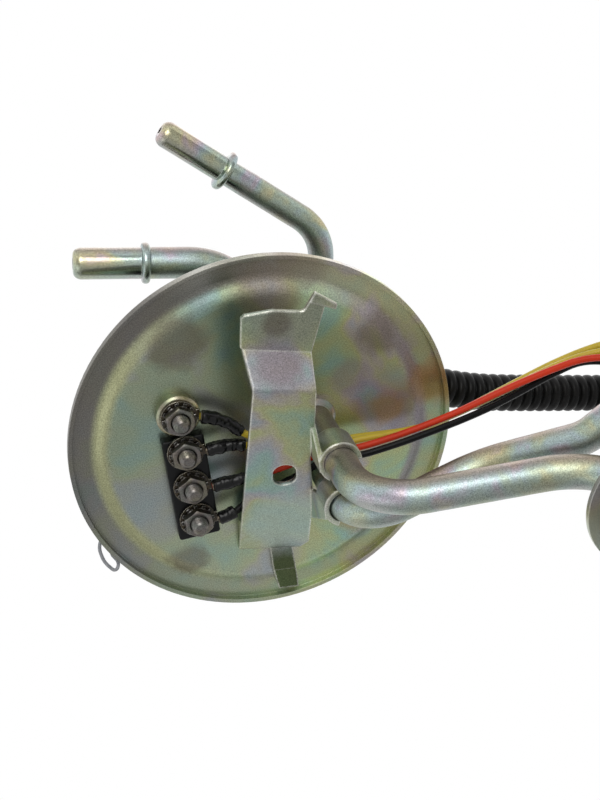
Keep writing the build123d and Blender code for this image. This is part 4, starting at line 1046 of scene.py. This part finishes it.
finishes = {name: makePlainSurface(name, facts) for name, facts in plainSurfaces.items()}
finishes.update({name: makePlatedSteel(name, facts) for name, facts in platedSteels.items()})
finishes["platedPlate"] = makePlatedPlate(platedPlate)
finishes["clearNylon"] = makeClearNylon(clearNylon)
finishes["filterMesh"] = makeFilterMesh(filterMesh)
print("materials made")


# the finish that each slot of the record gets, and the pieces whose finish is their own

slotFinish = {
    "plated_steel": "platedPlate", "bracket_steel": "bracketFilm", "tube_steel": "tubeFilm", "braze": "brazeFilm",
    "black_plastic": "blackPlastic", "gold_zinc": "goldZinc", "bright_steel": "brightSteel",
    "tinned_brass": "tinnedBrass", "sleeve_rubber": "sleeveRubber", "yellow_insulation": "yellowInsulation",
    "red_insulation": "redInsulation", "black_insulation": "blackInsulation", "conduit_plastic": "conduitPlastic",
    "clear_nylon": "clearNylon", "black_rubber": "blackRubber", "can_steel": "canSteel",
    "white_acetal": "whiteAcetal", "spring_steel": "springSteel", "copper": "copperWire", "core_iron": "coreIron",
    "magnet_ferrite": "ferrite", "carbon": "carbonBlock", "bronze": "bushBronze", "cast_aluminium": "castMetal",
    "filter_mesh": "filterMesh", "card_ceramic": "cardCeramic", "float_foam": "floatFoam",
}
nodeFinish = {
    "terminal_nuts": "nutSteel", "star_washers": "washerSteel", "ring_terminals": "crimpBrass",
    "pump_bracket": "strapSteel",
}


def dress(piece, finish):
    piece.data.materials.clear()
    piece.data.materials.append(finishes[finish])


slotOf = {row["node"]: row["material_slot"] for row in frame["record"]["subparts"]}
for nodeName, piece in nodes.items():
    dress(piece, nodeFinish.get(nodeName, slotFinish[slotOf[nodeName]]))
for tubePiece in tubePieces:
    dress(tubePiece, "tubeFilm")
dress(conduitTube, "conduitPlastic")
dress(threadedStuds, "studSteel")
dress(shrinkSleeves, "sleeveRubber")
dress(strainerSock, "filterMesh")
print("finishes placed")


# valve spring: on the real part its coils close up towards the fixed upper end as the poppet lifts; here the
# spring node only gets a mesh of its own

valveSpring = {"fixedEnd": (83.0, -5.9, -108.1), "lift": 1.2 * mm, "node": "valve_spring", "joint": "valve_lift"}


def closeWithLift(facts):
    spring = nodes[facts["node"]]
    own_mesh(spring)


closeWithLift(valveSpring)


# stage: a pale floor below, soft lamps and a plain world

stage = {
    "floorHeight": -0.62,
    "floorReach": 3.0,
    "floorColour": (0.92, 0.92, 0.92),
    "floorRoughness": 0.8,
    "lampAim": (0.02, -0.01, -0.04),
    "lamps": [  # place, size, power and colour
        ("keyLamp", (-0.10, -0.62, -0.42), 0.45, 2.0, (1.0, 0.99, 0.97)),
        ("fillLamp", (-0.60, 0.05, -0.35), 0.5, 0.45, (0.97, 0.99, 1.0)),
        ("topLamp", (0.2, -0.2, 0.75), 0.8, 1.6, (1.0, 1.0, 1.0)),
    ],
    "worldColour": (1.0, 1.0, 1.0),
    "worldLight": 0.50,
}


def makeFloor(facts):
    reach, height = facts["floorReach"], facts["floorHeight"]
    corners = [(-reach, -reach, height), (reach, -reach, height), (reach, reach, height), (-reach, reach, height)]
    floor = makePiece("floor", corners, [(0, 1, 2, 3)])
    made, tree, inlets = newMaterial("floorPaint")[:3]
    feed(tree, facts["floorColour"], inlets["Base Color"])
    inlets["Roughness"].default_value = facts["floorRoughness"]
    # seen from beneath, the floor isn't there
    painted = tree.nodes["Principled BSDF"].outputs[0]
    clear = addNode(tree, "ShaderNodeBsdfTransparent").outputs[0]
    under = addNode(tree, "ShaderNodeNewGeometry").outputs["Backfacing"]
    mixed = addNode(tree, "ShaderNodeMixShader", {0: under, 1: painted, 2: clear}).outputs[0]
    feed(tree, mixed, tree.nodes["Material Output"].inputs["Surface"])
    floor.data.materials.append(made)


def makeLamps(facts):
    for name, place, size, power, colour in facts["lamps"]:
        data = bpy.data.lights.new(name, "AREA")
        data.shape = "DISK"
        data.size, data.energy, data.color = size, power, colour
        holder = placeObject(name, data)
        holder.location = place
        toward = Vector(facts["lampAim"]) - Vector(place)
        holder.rotation_mode = "QUATERNION"
        holder.rotation_quaternion = toward.to_track_quat("-Z", "Y")


def makeWorld(facts):
    world = bpy.data.worlds.new("studio")
    scene.world = world
    world.use_nodes = True
    tree = world.node_tree
    background = tree.nodes["Background"]
    path = addNode(tree, "ShaderNodeLightPath").outputs
    # full strength to the camera, in metal and through clear plastic, and softer where it lights matt surfaces
    seen = mathNode(tree, "MAXIMUM", path["Is Camera Ray"], path["Is Transmission Ray"])
    seen = mathNode(tree, "MAXIMUM", seen, path["Is Glossy Ray"])
    feed(tree, facts["worldColour"], background.inputs["Color"])
    feed(tree, mathNode(tree, "MAXIMUM", seen, facts["worldLight"]), background.inputs["Strength"])


makeFloor(stage)
makeLamps(stage)
makeWorld(stage)
print("stage made")
